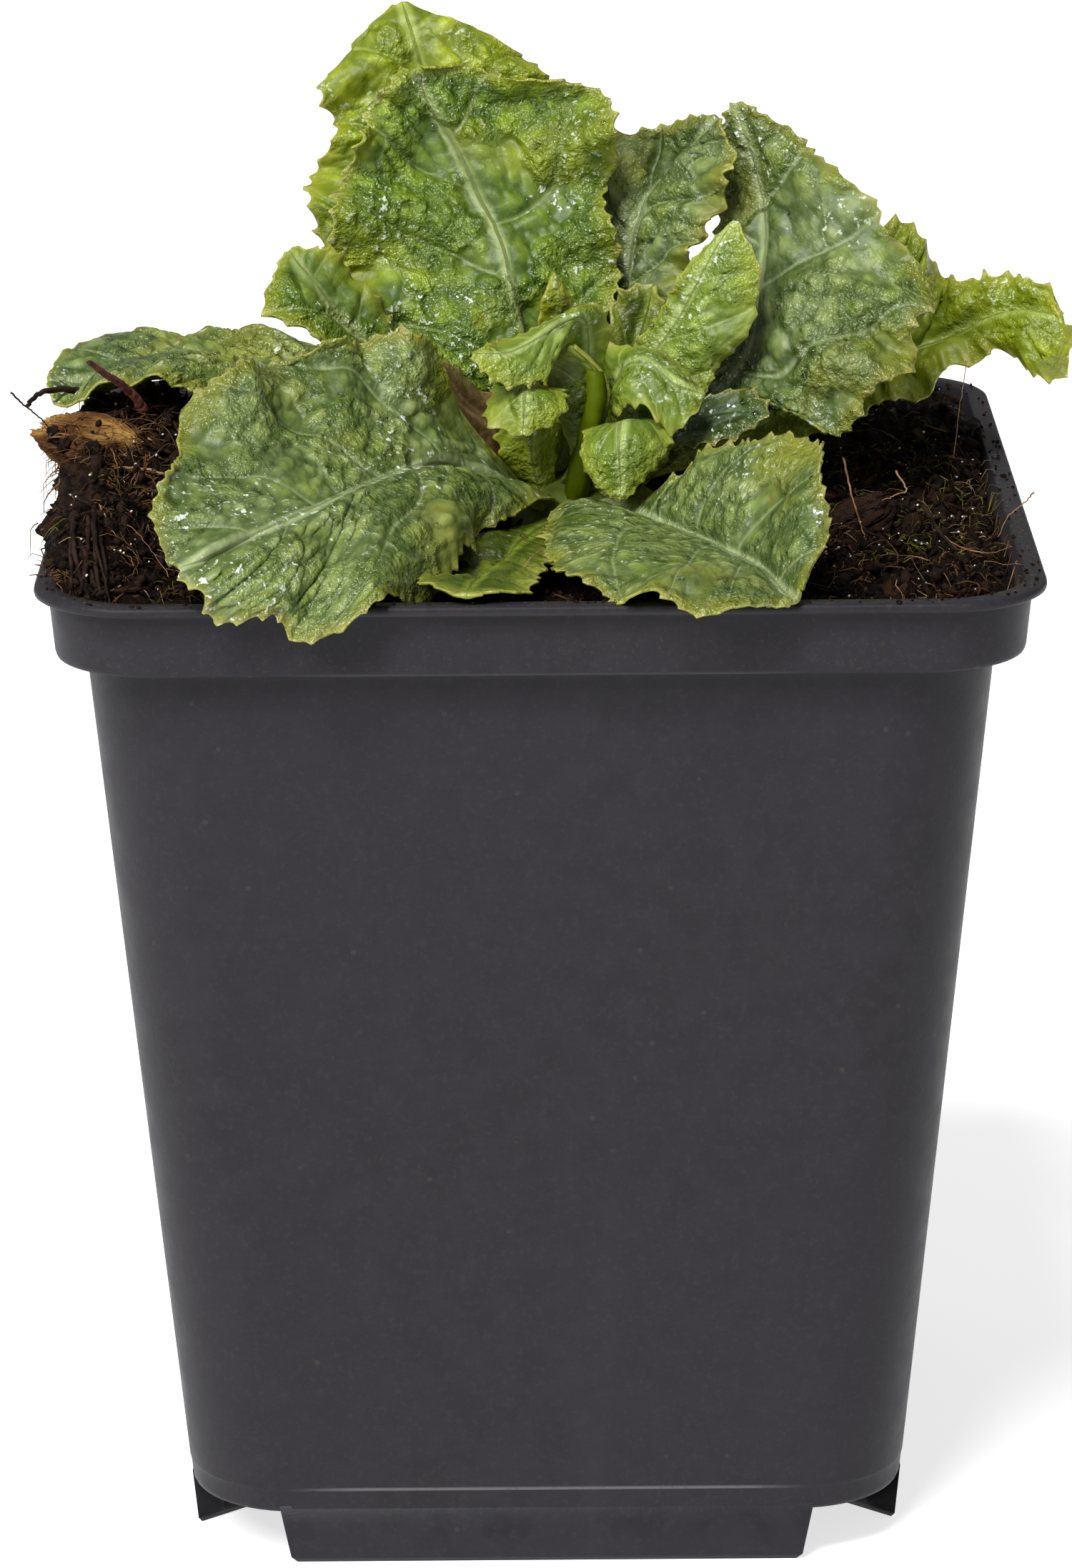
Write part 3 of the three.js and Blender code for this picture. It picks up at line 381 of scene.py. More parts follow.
# ---------- leaves ----------
ROW_STEP = 0.26  # wanted distance between rows of a blade's points, along the rib
COLUMN_STEP = 0.44  # and between its columns
ROWS = (40, 240)  # the fewest and the most rows of a blade
COLUMNS = (8, 56)  # and columns of half a blade
BLADE_INSIDE = 0.5  # thickness of a blade near its rib
BLADE_RIM = 0.24
RIB_KEEL = 1.0  # how far the rib stands out below the blade at its base
TIP_END = 0.982  # the blade ends here, a little short of the point where its lines meet
TOOTH_WIDTHS = (1.2, 2.5)
MOST_TEETH = 160  # more than any edge has
PEAK = 0.66  # where along itself a tooth is highest
BOWED_WIDTH = 9  # a half blade narrower than this is bowed less
SIDE_LAG = 0.37  # the right edge's waves start this much of a wave after the left edge's
# Puckers of four sizes: height, size, shift along and across the blade, and seed.
PUCKERS = [(0.85, 5.2, 0, 0, 0), (0.24, 2.1, 7, 0, 1), (0.07, 1.05, 0, 9, 7), (1.5, 11, 0, 4, 8)]
PILLOW_SIZE = 2.8  # width of the raised pillows between the small veins
PILLOW_HEIGHT = 0.7
GROOVE_DEPTH = 0.34  # of the side veins
VALLEY_DEPTH = 0.2  # of the fold over the rib
# What a leaf has where its drawing doesn't say otherwise.
PLAIN_LEAF = dict(curl=(0, 0), vein_gap=5.5, tooth=0.85, lobed=1.0, crinkle=1.0, wet=0)
wet_places = []  # points and normals of blades where drops may hang, and how many drops


def row_shares(rib):
    """Shares of a rib's drawn points that give rows at even distances."""
    fine = np.linspace(0, TIP_END, 400)
    length = arc_length(catmull(rib, fine))
    rows = int(np.clip(length[-1] / ROW_STEP, *ROWS))
    return np.interp(np.linspace(0, length[-1], rows), length, fine)


def teeth(length, seed, size):
    """Height of a toothed margin along an edge, with the teeth leaning towards the tip."""
    rng = np.random.default_rng(seed)
    marks = np.cumsum(rng.uniform(*TOOTH_WIDTHS, MOST_TEETH)) - 2
    index = np.searchsorted(marks, length)
    start, end = marks[index - 1], marks[index]
    place = np.clip((length - start) / (end - start), 0, 1)
    rise = np.where(place < PEAK, (place / PEAK) ** 2.4, ((1 - place) / (1 - PEAK)) ** 1.8)
    return rise * size * rng.uniform(0.5, 1.2, len(marks))[index]


def tissue(s, t, wide, side, spacing, seed):
    """Pillows and veins at distances s along the rib and t across from it.

    Side veins leave the rib at a slant and turn towards the tip, with pillows of two sizes between them.
    """
    slanted = s - 0.62 * np.abs(t) - 0.012 * t**2 + 1.5 * noise2(s / 7, t / 7, seed + 3)
    turn = 2 * math.pi * (slanted / spacing + 0.5 * side)
    off_vein = np.abs(np.arctan2(np.sin(turn), np.cos(turn))) * spacing / (2 * math.pi)
    warp = 1.2 * noise2(s / 2.8, t / 2.8 + 5, seed + 6)
    nearest, second = cells2(s - 0.35 * np.abs(t) + warp, t + warp, PILLOW_SIZE, seed + 4)
    pillow = smoothstep(second - nearest, 0.0, 0.75)
    nearest, second = cells2(s - 0.2 * np.abs(t) - warp, t + 3, PILLOW_SIZE / 2, seed + 10)
    pillow = 0.72 * pillow + 0.28 * smoothstep(second - nearest, 0.0, 0.7)
    pillow = pillow * smoothstep(off_vein, 0.1, 1.1) * smoothstep(np.abs(t), 0.3, 2.2)
    pillow = pillow * smoothstep(wide - np.abs(t), 0.0, 1.6) * smoothstep(wide, 2, 6)
    groove = GROOVE_DEPTH * np.exp(-((off_vein / 0.55) ** 2)) * smoothstep(wide, 2, 6)
    return turn, pillow, groove


def half_blade(leaf, along, rib, tangent, distance, side, columns, seed):
    """Points and measures of one half of a blade, from the rib out to the toothed edge.

    side is 0 on the left and 1 on the right.
    """
    edge = catmull(leaf[("left", "right")[side]], along)
    edge_length = arc_length(edge)
    span = edge - rib
    width = np.linalg.norm(span, axis=1)
    sign = 1 - 2 * side
    lift = unit(np.cross(tangent, unit(span))) * sign
    share = np.linspace(0, 1, columns + 1)[None, :]
    wide = width[:, None]
    opening = smoothstep(along, 0.15, 0.45)[:, None]
    # the margin: lobes and teeth that grow from a smooth base
    grown = smoothstep(distance / distance[-1], 0.14, 0.34) * (1 - 0.45 * smoothstep(along, 0.93, 1))
    tooth = teeth(edge_length, seed + 11, leaf["tooth"]) * grown
    lobes = noise2(edge_length / 3.8, 0, seed + 5) + 1.2 * noise2(edge_length / 9, 2, seed + 9)
    lobes = lobes * grown * np.minimum(1, width / 10) * leaf["lobed"]
    outer = smoothstep(share * wide, wide - np.minimum(2.4, 0.5 * wide), wide)
    tips = outer**1.5 * tooth[:, None]
    reach = share + (tips + outer * lobes[:, None]) / np.maximum(wide, 1.2)
    # the large form: a bowed half with waves that grow towards the margin
    bow = leaf["bow"][side] * 4 * share * (1 - share) * np.minimum(1, wide / BOWED_WIDTH) ** 2
    height, waves, start = leaf["ruffle"]
    phase = 2 * math.pi * (waves * along + start + SIDE_LAG * side)[:, None]
    settled = 1 - 0.5 * smoothstep(along, 0.85, 1)[:, None]
    wave = height * opening * settled * share**2 * np.sin(phase)
    # the surface: puckers all over, short waves along the margin, and edges that curl
    s = distance[:, None] + 0 * share
    t = share * wide * sign
    scale = leaf["crinkle"] * smoothstep(wide, 1.5, 7)
    pucker = sum(
        high * noise2(s / size + ahead, t / size + aside, seed + k) for high, size, ahead, aside, k in PUCKERS
    )
    short = noise2(edge_length / 2.6, 3, seed + 2)[:, None]
    frill = 0.75 * short * smoothstep(share, 0.62, 1) ** 1.5
    curl = leaf["curl"][side] * smoothstep(share, 0.68, 1) ** 1.6 * opening
    turn, pillow, groove = tissue(s, t, wide, side, leaf["vein_gap"], seed)
    valley = VALLEY_DEPTH * np.exp(-((t / 0.9) ** 2)) * (0.4 + 0.6 * smoothstep(wide, 2, 7))
    relief = leaf["crinkle"] * (PILLOW_HEIGHT * pillow - groove) - valley
    height = bow + wave + curl + scale * (pucker + frill) + relief
    return {
        "points": rib[:, None] + span[:, None] * reach[..., None] + lift[:, None] * height[..., None],
        "edge_mm": np.maximum(wide * (1 - share), 0) + 0 * s,
        "rib_mm": np.abs(t),
        "pillow": pillow,
        "vein_sine": np.sin(turn) * sign,
        "vein_cosine": np.cos(turn),
        "tooth_tip": smoothstep(tips, 0.25, 0.9),
        "flat": np.stack([s, t, 0 * s + seed], -1),
    }


def draw_leaf(name, look, rib, left, right, **shape):
    """A leaf as a closed piece: the upper face, the lower face and the rim between them.

    The three lines run from the leaf's base, and both edges end where the rib does. shape has:
    bow: how far the left and the right half bulge; ruffle: height, number and start of the edge's waves;
    curl: how far each edge turns up; vein_gap: distance between side veins; tooth: size of the teeth;
    lobed: size of the lobes; crinkle: strength of the relief; wet: number of drops.
    """
    leaf = PLAIN_LEAF | dict(left=[*left, rib[-1]], right=[*right, rib[-1]]) | shape
    seed = sum(map(ord, name))
    along = row_shares(rib)
    rib_line = catmull(rib, along)
    distance = arc_length(rib_line)
    ahead = catmull(rib, np.minimum(along + 0.004, 1)) - catmull(rib, np.maximum(along - 0.004, 0))
    edges = [catmull(leaf[key], along) for key in ("left", "right")]
    widest = max(np.linalg.norm(edge - rib_line, axis=1).max() for edge in edges)
    columns = int(np.clip(widest / COLUMN_STEP, *COLUMNS))
    halves = [
        half_blade(leaf, along, rib_line, unit(ahead), distance, side, columns, seed + 31 * side)
        for side in (0, 1)
    ]
    # one grid from the right edge over the rib to the left edge
    middle = {
        key: np.concatenate([halves[1][key][:, :0:-1], halves[0][key]], axis=1) for key in halves[0]
    }
    points = middle.pop("points")
    rows, across, _ = points.shape
    for _ in range(2):  # eases the fold where the halves meet
        near = slice(columns - 2, columns + 3)
        eased = (points[:, columns - 3 : columns + 2] + points[:, columns - 1 : columns + 4]) / 2
        points[:, near] = 0.5 * points[:, near] + 0.5 * eased
    normals = unit(np.cross(np.gradient(points, axis=0), np.gradient(points, axis=1)))
    share = np.abs(np.linspace(-1, 1, across))[None, :]
    thick = BLADE_INSIDE + (BLADE_RIM - BLADE_INSIDE) * smoothstep(share, 0.5, 1)
    keel = RIB_KEEL * np.exp(-((middle["rib_mm"] / 0.8) ** 2)) * (1 - along[:, None])
    keel = keel * min(1, widest / 7)
    top = points + normals * (thick / 2)[..., None]
    bottom = points - normals * (thick / 2 + keel)[..., None]
    count = rows * across
    order = np.arange(count).reshape(rows, across)
    rim = np.concatenate([order[:-1, 0], order[-1, :-1], order[:0:-1, -1], order[0, :0:-1]])
    following = np.roll(rim, -1)
    upper = grid_faces(rows, across)
    side_faces = np.stack([rim, rim + count, following + count, following], -1)
    attributes = {
        key: np.concatenate([values.reshape(count, -1)] * 2).squeeze() for key, values in middle.items()
    }
    attributes["underside"] = np.repeat([0.0, 1.0], count)
    solid = np.concatenate([top.reshape(-1, 3), bottom.reshape(-1, 3)])
    faces = np.concatenate([upper, upper[:, ::-1] + count, side_faces])
    make_piece(name, solid, faces, LEAF_MATERIALS[look], LOOKS[look][0], attributes, ["leaf_" + name])
    if leaf["wet"]:
        wet_places.append((top[::7, 2:-2:5], normals[::7, 2:-2:5], leaf["wet"]))


draw_leaf(
    "front_left", "glaucous", bow=(1.8, -1.2), ruffle=(1.3, 5.5, 0.1), curl=(-0.3, -0.4), vein_gap=9.5,
    crinkle=0.6, lobed=1.4, wet=14,
    rib=[(0.5, -9, 96.5), (-6, -14, 100.5), (-9.5, -18.5, 102.5), (-13, -23.5, 102.5), (-17, -29.5, 102),
         (-21, -36.5, 102), (-25.5, -42, 101.5), (-32, -46, 99.5)],
    left=[(1.5, -10.5, 97), (-1, -17, 98.5), (-5, -24, 97.5), (-8, -34, 96), (-14.5, -46.5, 96),
          (-22, -47.5, 94.5), (-28.5, -47.5, 96)],
    right=[(-1, -8, 97), (-7, -9, 104), (-10, -11.5, 111.5), (-15.5, -13, 113.5), (-22, -15, 113.5),
           (-29, -24, 110), (-34, -33, 106)],
)
draw_leaf(
    "front_right", "glaucous", bow=(0.4, 1.0), ruffle=(0.7, 5, 0.3), curl=(-0.4, -0.2), vein_gap=8.5,
    crinkle=0.4, wet=7,
    rib=[(5.5, -9.5, 96.5), (9, -16, 97), (12.5, -22, 97), (15.5, -28, 97), (18.5, -34, 97),
         (20.5, -41, 97), (22.5, -46, 96.5)],
    left=[(7.5, -9, 97), (11, -15, 99), (13.5, -17, 102.5), (17, -21, 106), (23, -29, 107.5),
          (25, -38, 104.5)],
    right=[(4, -10.5, 97), (1, -15, 97), (0, -25, 97), (3, -38, 97.5), (7.5, -46, 97), (14.5, -48, 96.5)],
)
# the dark stalk look is painted shade here: this leaf lies in the shade of the leaves above it
draw_leaf(
    "front_low", "stalk", bow=(0.3, 0.3), ruffle=(0.25, 5, 0.6),
    rib=[(2.5, -11.5, 95.5), (0.5, -17, 96), (-2, -24, 96), (-3.5, -31, 96), (-5, -37, 96.5),
         (-6, -41.5, 97), (-6.5, -45, 97)],
    left=[(4, -11.5, 95.5), (3, -17, 95.5), (1, -24, 95.5), (0.5, -31, 96), (-0.5, -37, 96.5),
          (-1.5, -42.5, 97)],
    right=[(1, -11, 95.5), (-2.5, -16, 95.5), (-7, -22, 95.5), (-10, -30, 95.5), (-11, -37, 96),
           (-9.5, -41.5, 97)],
)
draw_leaf(
    "back_tall", "fresh", bow=(-1.2, -1.2), ruffle=(1.5, 5.5, 0.2), curl=(-1, 0.6), vein_gap=9.5,
    crinkle=0.75, wet=26,
    rib=[(0.5, 1, 97), (-1, 1, 108.5), (-2.5, 3, 113.5), (-3.5, 5.5, 117.5), (-5.5, 8, 122),
         (-7.5, 10, 126), (-10, 11, 130), (-12, 10.5, 134)],
    left=[(-1, 1, 97.5), (-10.5, -3, 108), (-14, -0.5, 111.5), (-17, 3, 116), (-18.5, 5.5, 121.5),
          (-17, 8, 126.5), (-15, 9.5, 131)],
    right=[(2, 1.5, 97.5), (5.5, 1.5, 105.5), (7, 2.5, 111), (7, 5, 116.5), (6.5, 7, 123), (6.5, 8.5, 130),
           (-2.5, 11, 132.5)],
)
draw_leaf(
    "back_yellow", "yellow green", bow=(0.6, 0.6), ruffle=(1.3, 6, 0.5), curl=(-0.6, -0.6), vein_gap=8,
    crinkle=0.8,
    rib=[(-2, 4, 97), (-5, 8, 104), (-7.5, 11, 112), (-9, 14, 120.5), (-10.5, 18, 130.5), (-12, 20, 135),
         (-13, 22, 138.5)],
    left=[(-3.5, 4, 97.5), (-13, 8, 106), (-20.5, 12, 115.5), (-21.5, 15, 121.5), (-19, 17, 127),
          (-20.5, 19, 130.5)],
    right=[(-1, 5, 97.5), (0, 10, 105), (1.5, 13, 113.5), (2, 16, 121.5), (1.5, 18, 129.5),
           (-2.5, 20, 133.5)],
)
draw_leaf(
    "left_small", "fresh", bow=(0.8, 0.8), ruffle=(0.7, 3, 0.2),
    rib=[(-3, -2, 97), (-8, -1.5, 102.5), (-13, -1, 107), (-19.5, -0.5, 112.5), (-21.5, 0, 115),
         (-23.5, 1.5, 118.5)],
    left=[(-3, -3, 97), (-7.5, -4, 102), (-13, -4.5, 106), (-21.5, -4.5, 111.5), (-25, -3, 113.5)],
    right=[(-3, -0.5, 97.5), (-7, 0.5, 104), (-12, 1.5, 109.5), (-17, 2.5, 114.5), (-18.5, 3, 117)],
)
draw_leaf(
    "left_low", "glaucous", bow=(1, 0.8), ruffle=(0.3, 6, 0), vein_gap=8, crinkle=0.8, tooth=0.3, lobed=0.3,
    wet=6,
    rib=[(-4, 0.5, 96.5), (-12, 3, 101), (-20, 5, 104), (-28, 5.5, 106), (-36, 4.5, 106), (-42, 2.5, 105.5),
         (-46.5, 0.5, 106)],
    left=[(-4, -0.5, 96.5), (-11.5, -1, 100), (-30, -4, 104), (-35, -5, 108), (-39.5, -5.5, 108.5),
          (-44.5, -4, 105.5)],
    right=[(-3.5, 2, 97), (-12, 8, 102), (-27.5, 14, 108.5), (-32.5, 15.5, 108), (-38.5, 14.5, 108),
           (-44.5, 8, 107.5)],
)
draw_leaf(
    "left_torn", "dry", bow=(0.4, 0.4), ruffle=(0.4, 3, 0.4),
    rib=[(-2, -4.5, 97), (-3, -5.5, 100), (-4.5, -6.5, 103), (-7, -7, 105), (-9, -7, 107.5),
         (-11.5, -7, 109)],
    left=[(-1.5, -6, 97), (-3.5, -7, 99), (-5.5, -8.5, 102), (-7.5, -10, 104), (-10, -9.5, 106.5)],
    right=[(-2.5, -3.5, 97.5), (-2, -4, 100.5), (-3.5, -4, 103.5), (-5.5, -4, 106), (-8.5, -4, 108)],
)
draw_leaf(
    "right_large", "glaucous", bow=(-0.4, 1.4), ruffle=(1.1, 6, 0.2), vein_gap=9, crinkle=0.7, wet=16,
    rib=[(8.5, -2.5, 96.5), (13, -2, 101.5), (19.5, -1, 108), (21, 2, 113.5), (21.5, 5, 119),
         (20.5, 8, 125), (18.5, 9.5, 131)],
    left=[(8, -1.5, 96.5), (12, 1, 102.5), (16.5, 3, 107), (17, 5, 112.5), (17.5, 7, 118), (17, 9.5, 125)],
    right=[(9, -4, 96.5), (22, -6, 104.5), (27, -9, 103), (33, -9, 109.5), (36, -5, 114.5), (26, 5.5, 127)],
)
draw_leaf(
    "right_far", "yellow green", bow=(1, 0.6), ruffle=(0.6, 7, 0.5), curl=(-0.6, -1.2), vein_gap=8,
    rib=[(8, 1, 96.5), (22, 5, 100.5), (32, 8, 105), (39.5, 9, 108), (43, 7, 110), (47, 5, 111),
         (49.5, 2, 111)],
    left=[(8, 2, 96.5), (23.5, 11, 107.5), (35, 13, 118), (39, 11, 113), (42.5, 9, 113.5), (46.5, 6, 114)],
    right=[(8.5, -0.5, 96), (23.5, 3, 99), (33, 3, 103), (39, 5, 107.5), (44, 4.5, 107.5),
           (49, 1.5, 105.5)],
)
draw_leaf(
    "back_grey", "glaucous", bow=(0.6, 0.8), ruffle=(0.7, 6, 0.1), vein_gap=7,
    rib=[(5, 3, 97), (8.5, 6, 108.5), (8.5, 7, 113.5), (9, 9.5, 117.5), (10.5, 11, 121), (13.5, 11, 124.5),
         (17.5, 9, 129.5)],
    left=[(3.5, 3, 97), (5.5, 8, 108.5), (4.5, 11, 113), (5, 14, 119), (6, 16, 124), (10.5, 15, 127)],
    right=[(6, 3, 97), (13, 4, 110.5), (13, 4, 114.5), (13.5, 4, 118), (15.5, 4, 121.5), (17.5, 5, 125)],
)
draw_leaf(
    "right_cup", "young", bow=(0.9, 0.9), ruffle=(0.3, 3, 0.1), crinkle=0.35, tooth=0.45, wet=4,
    rib=[(7, -3.5, 97), (8.5, -3, 102.5), (10.5, -2.5, 108.5), (13, -3, 112.5), (15.5, -3.5, 117.5),
         (18.5, -3, 122)],
    left=[(6.5, -2.5, 97.5), (7, -2, 103.5), (9, -1.5, 109), (11.5, -2, 113.5), (14.5, -2.5, 118)],
    right=[(7.5, -4.5, 97), (11.5, -5, 102.5), (16.5, -6, 107.5), (20, -6, 112), (20, -5, 117)],
)
draw_leaf(
    "right_dark", "dark", bow=(0.4, 0.4), ruffle=(0.2, 2, 0.1), crinkle=0.6, wet=14,
    rib=[(8, -6.5, 96), (11.5, -8, 102), (14.5, -9, 104), (18, -10, 105), (21.5, -11, 105)],
    left=[(8.5, -5.5, 96.5), (12, -6.5, 103.5), (15.5, -7.5, 105.5), (19.5, -9, 106.5)],
    right=[(7.5, -7.5, 96), (11.5, -9.5, 101), (14.5, -11, 102), (18.5, -12, 103.5)],
)
# the dark stalk look is partly painted shade here: this leaf stands in the shade in the middle of the rosette
draw_leaf(
    "centre_tall", "stalk", bow=(0, 0), ruffle=(0, 3, 0.3), curl=(-0.3, 0.3), crinkle=0.1, tooth=0.15,
    lobed=0,
    rib=[(3, -6.5, 97), (4, -9, 100.5), (5, -9, 104), (5.5, -9, 106.5), (5, -9, 109), (3, -9.5, 111.5)],
    left=[(1.5, -6.5, 97), (3, -9, 100.5), (2, -9, 104), (1, -9.5, 107), (1, -9.5, 109.5)],
    right=[(4.5, -6.5, 97), (5.5, -9, 100.5), (6, -9, 104), (6.5, -9, 106.5), (6, -9, 108.5)],
)
draw_leaf(
    "centre_right", "young", bow=(0.6, 0.6), ruffle=(0.3, 3, 0.2), crinkle=0.5,
    rib=[(5.5, -5.5, 97), (7, -6, 102.5), (7.5, -7.5, 108), (9.5, -10, 110), (12.5, -12, 108.5),
         (15.5, -12, 107)],
    left=[(5.5, -4.5, 97.5), (6.5, -4.5, 105), (6.5, -5.5, 110), (9.5, -7, 110.5), (13.5, -9.5, 109)],
    right=[(6, -6.5, 97), (8, -8, 101.5), (7, -11.5, 105), (10, -14, 106), (12, -14.5, 104)],
)
draw_leaf(
    "centre_left", "young", bow=(0.35, 0.35), ruffle=(0.3, 3, 0.2), crinkle=0.5, tooth=0.9, lobed=0.6,
    wet=3,
    rib=[(1.5, -4.5, 97.5), (4, -6, 105.5), (4.5, -7, 111.5), (4, -8.5, 114), (1.5, -10.5, 113.5),
         (-2.5, -13, 111.5), (-6.5, -14, 111.5)],
    left=[(0.5, -5.5, 97.5), (2.5, -6.5, 105.5), (2.5, -8, 110.5), (2, -11, 111), (0.5, -13.5, 109),
          (-3.5, -15, 109)],
    right=[(2.5, -4, 97.5), (5.5, -5.5, 105), (6.5, -5.5, 110.5), (5.5, -6.5, 114), (2, -8, 114),
           (-3, -10.5, 112)],
)
draw_leaf(
    "centre_lobe", "young", bow=(0.35, 0.35), ruffle=(0.2, 3, 0.2), crinkle=0.4, lobed=0.5,
    rib=[(0.5, -6, 97), (-0.5, -8, 100.5), (-0.5, -10.5, 107.5), (-1, -14, 108), (-1.5, -15.5, 104)],
    left=[(1.5, -6.5, 97), (1.5, -7.5, 100), (2, -10.5, 107.5), (2, -14, 106)],
    right=[(-1.5, -5.5, 97), (-3.5, -8, 100.5), (-3.5, -10, 107.5), (-5, -13.5, 106)],
)
draw_leaf(
    "centre_tip", "yellow green", bow=(0, 0), ruffle=(0, 3, 0.1), crinkle=0.3, tooth=0.3, lobed=0.3,
    rib=[(1.5, -2, 97.5), (2.5, -3.5, 105), (1.5, -4.5, 111), (2, -5, 114.5), (1.5, -5.5, 117.5)],
    left=[(0.5, -2, 97.5), (0.5, -3.5, 105), (0, -5, 111.5), (0.5, -5.5, 115)],
    right=[(2.5, -2, 97.5), (4, -3, 104.5), (3.5, -4, 111), (3, -4.5, 114.5)],
)
draw_leaf(
    "right_curled", "young", bow=(0.4, 0.4), ruffle=(0.15, 3, 0.2), crinkle=0.4, tooth=0.5, lobed=0.4,
    rib=[(5.5, -7.5, 97), (8.5, -9, 99.5), (8, -12, 104.5), (7.5, -16, 105), (7.5, -17, 98)],
    left=[(6.5, -7, 97), (11.5, -10, 100), (12.5, -12.5, 104.5), (11, -16, 102)],
    right=[(4.5, -8, 97), (5.5, -9.5, 99.5), (4.5, -12, 104), (4, -15.5, 101.5)],
)
draw_leaf(
    "right_brown", "stalk", bow=(0.2, 0.2), ruffle=(0.4, 4, 0.1), crinkle=0.25,
    rib=[(5.5, -0.5, 97.5), (9, 1, 103.5), (9, 1.5, 107.5), (10, 2.5, 111), (11, 3, 114.5)],
    left=[(4.5, -0.5, 97.5), (7, 0.5, 104), (6.5, 1.5, 110), (8, 3, 113.5)],
    right=[(6.5, -1, 97.5), (10, 0, 102.5), (11, 1, 107), (12, 1.5, 111)],
)
draw_leaf(
    "behind_left", "fresh", bow=(1, 1), ruffle=(0.8, 4, 0.3),
    rib=[(1, 5, 96.5), (-1.5, 12.5, 103.5), (-4.5, 20, 108), (-6.5, 28, 108.5), (-8.5, 36, 105),
         (-9.5, 42, 100)],
    left=[(-0.5, 5.5, 96.5), (-5.5, 12, 104), (-12, 19, 109), (-17, 28, 110.5), (-17, 36, 106.5)],
    right=[(2, 5, 96.5), (2, 13, 104), (2.5, 21, 108.5), (2.5, 29, 108.5), (0.5, 37, 104.5)],
)
draw_leaf(
    "behind_right", "fresh", bow=(1, 1), ruffle=(0.8, 4, 0.6),
    rib=[(6, 4.5, 96), (11, 12, 102), (15.5, 19, 106), (20, 26, 107), (23.5, 33, 104), (26, 38.5, 99.5)],
    left=[(5, 5, 96), (8, 14, 102.5), (9, 22, 106.5), (12, 30.5, 107), (18, 37, 103.5)],
    right=[(7, 4, 96), (14.5, 10.5, 102), (22.5, 15, 107), (28.5, 20.5, 108.5), (30.5, 29.5, 105.5)],
)

# ---------- sizes of the pot ----------
LIP_HALF = round((pot_high.x - pot_low.x) / 2 / MM, 3)  # the lip is the widest part of the pot
LIP_THICK = 0.9
LIP_RADIUS = 9.5
POT_HEIGHT = round(pot_high.z / MM, 3)
COLLAR_SPREAD = 0.5  # how far the collar widens on each side, from its foot to the lip
COLLAR_HALF = LIP_HALF - 1.2
COLLAR_FOOT_HALF = COLLAR_HALF - COLLAR_SPREAD
COLLAR_RADIUS = 9.1
COLLAR_BOTTOM = POT_HEIGHT - 6.8
BODY_TOP_HALF = COLLAR_FOOT_HALF - 2.5
BODY_RADIUS = 10.0
WALL = 0.8
FLOOR_HALF = 33.6
FLOOR_Z = 5.2
FLOOR_THICK = 1.0
FLOOR_TOP = FLOOR_Z + FLOOR_THICK
BODY_FOOT = FLOOR_Z + 0.8  # the walls' slope starts here
DRAIN_RADIUS = 4
DRAIN_OUT = 19  # how far the four outer drains stand from the middle, along each side
FEET_FACE = FLOOR_HALF - 0.02  # the feet are bars, and their outer faces stand here
BAR_DEEP = 4.6
BAR_SLANT = 3.7  # a bar is this much shorter behind at each end

# ---------- soil ----------
SOIL_HALF = LIP_HALF - 2.8
SOIL_RADIUS = 8.0
SOIL_LEVEL = POT_HEIGHT - 1.6
# Height, middle and spread of each rise or dip of the soil's surface.
MOUNDS = [
    (9.4, (-37.5, 2.5), (11, 16)),
    (4.2, (-42, -22), (6, 13)),
    (3, (37, 22), (8, 14)),
    (-0.9, (0, -38), (1e6, 8)),
]
LIP_TOP = POT_HEIGHT + 0.2
TOP_RINGS = 105  # of points, from the middle of the soil to its rim
OVERHANG = 2.3  # how far the heaped soil reaches out over the lip
STRAY = 1.5  # how much further its loose fibres reach
HEAP_RIGHT = -29  # the open heap on the left ends here
HEAP_Y = (-36, 26)  # and lies between these
HEAP_SHARE = 0.36  # the share of loose bits that lies on it
OPEN_LEFT = 25  # the open soil on the right starts here
OPEN_Y = (-36, 14)
OPEN_SHARE = 0.2
WOOD_PLACE = (-41.2, -5.6, 101.4)  # the middle of the wood that lies in the heap
# How many there are of each kind of loose bit.
CRUMBS, GRAINS, CHIPS, GRIT, LIP_GRAINS = 480, 2400, 110, 380, 220
DARK_FIBRES, TAN_FIBRES, WOOD_FIBRES, HEAP_FIBRES = 5200, 620, 150, 230
HEAP_CLODS, WOOD_CRUMBS = 170, 60
MOSS_TUFTS, MOSS_BLADES = 90, 9
OPEN_TUFTS = 50  # of the tufts, those on the open soil on the right


def square_ring(half, radius, side_steps, corner_steps):
    """A square with round corners in plan, anticlockwise from its right side."""
    reach = half - radius
    side = np.linspace(-reach, reach, side_steps, endpoint=False)
    angle = np.linspace(0, math.pi / 2, corner_steps, endpoint=False)
    straight = np.stack([np.full(side_steps, half), side], -1)
    corner = reach + radius * np.stack([np.cos(angle), np.sin(angle)], -1)
    quarters = [np.concatenate([straight, corner])]
    for _ in range(3):
        quarters.append(quarters[-1][:, ::-1] * (-1, 1))
    return np.concatenate(quarters)


def ground(x, y):
    """Height of the soil without its clods."""
    height = SOIL_LEVEL + 0.45 * np.sin(0.55 * x + 1.3 * np.sin(0.31 * y)) * np.cos(0.47 * y - 0.4)
    for rise, (cx, cy), (sx, sy) in MOUNDS:
        height = height + rise * np.exp(-(((x - cx) / sx) ** 2) - ((y - cy) / sy) ** 2)
    return height


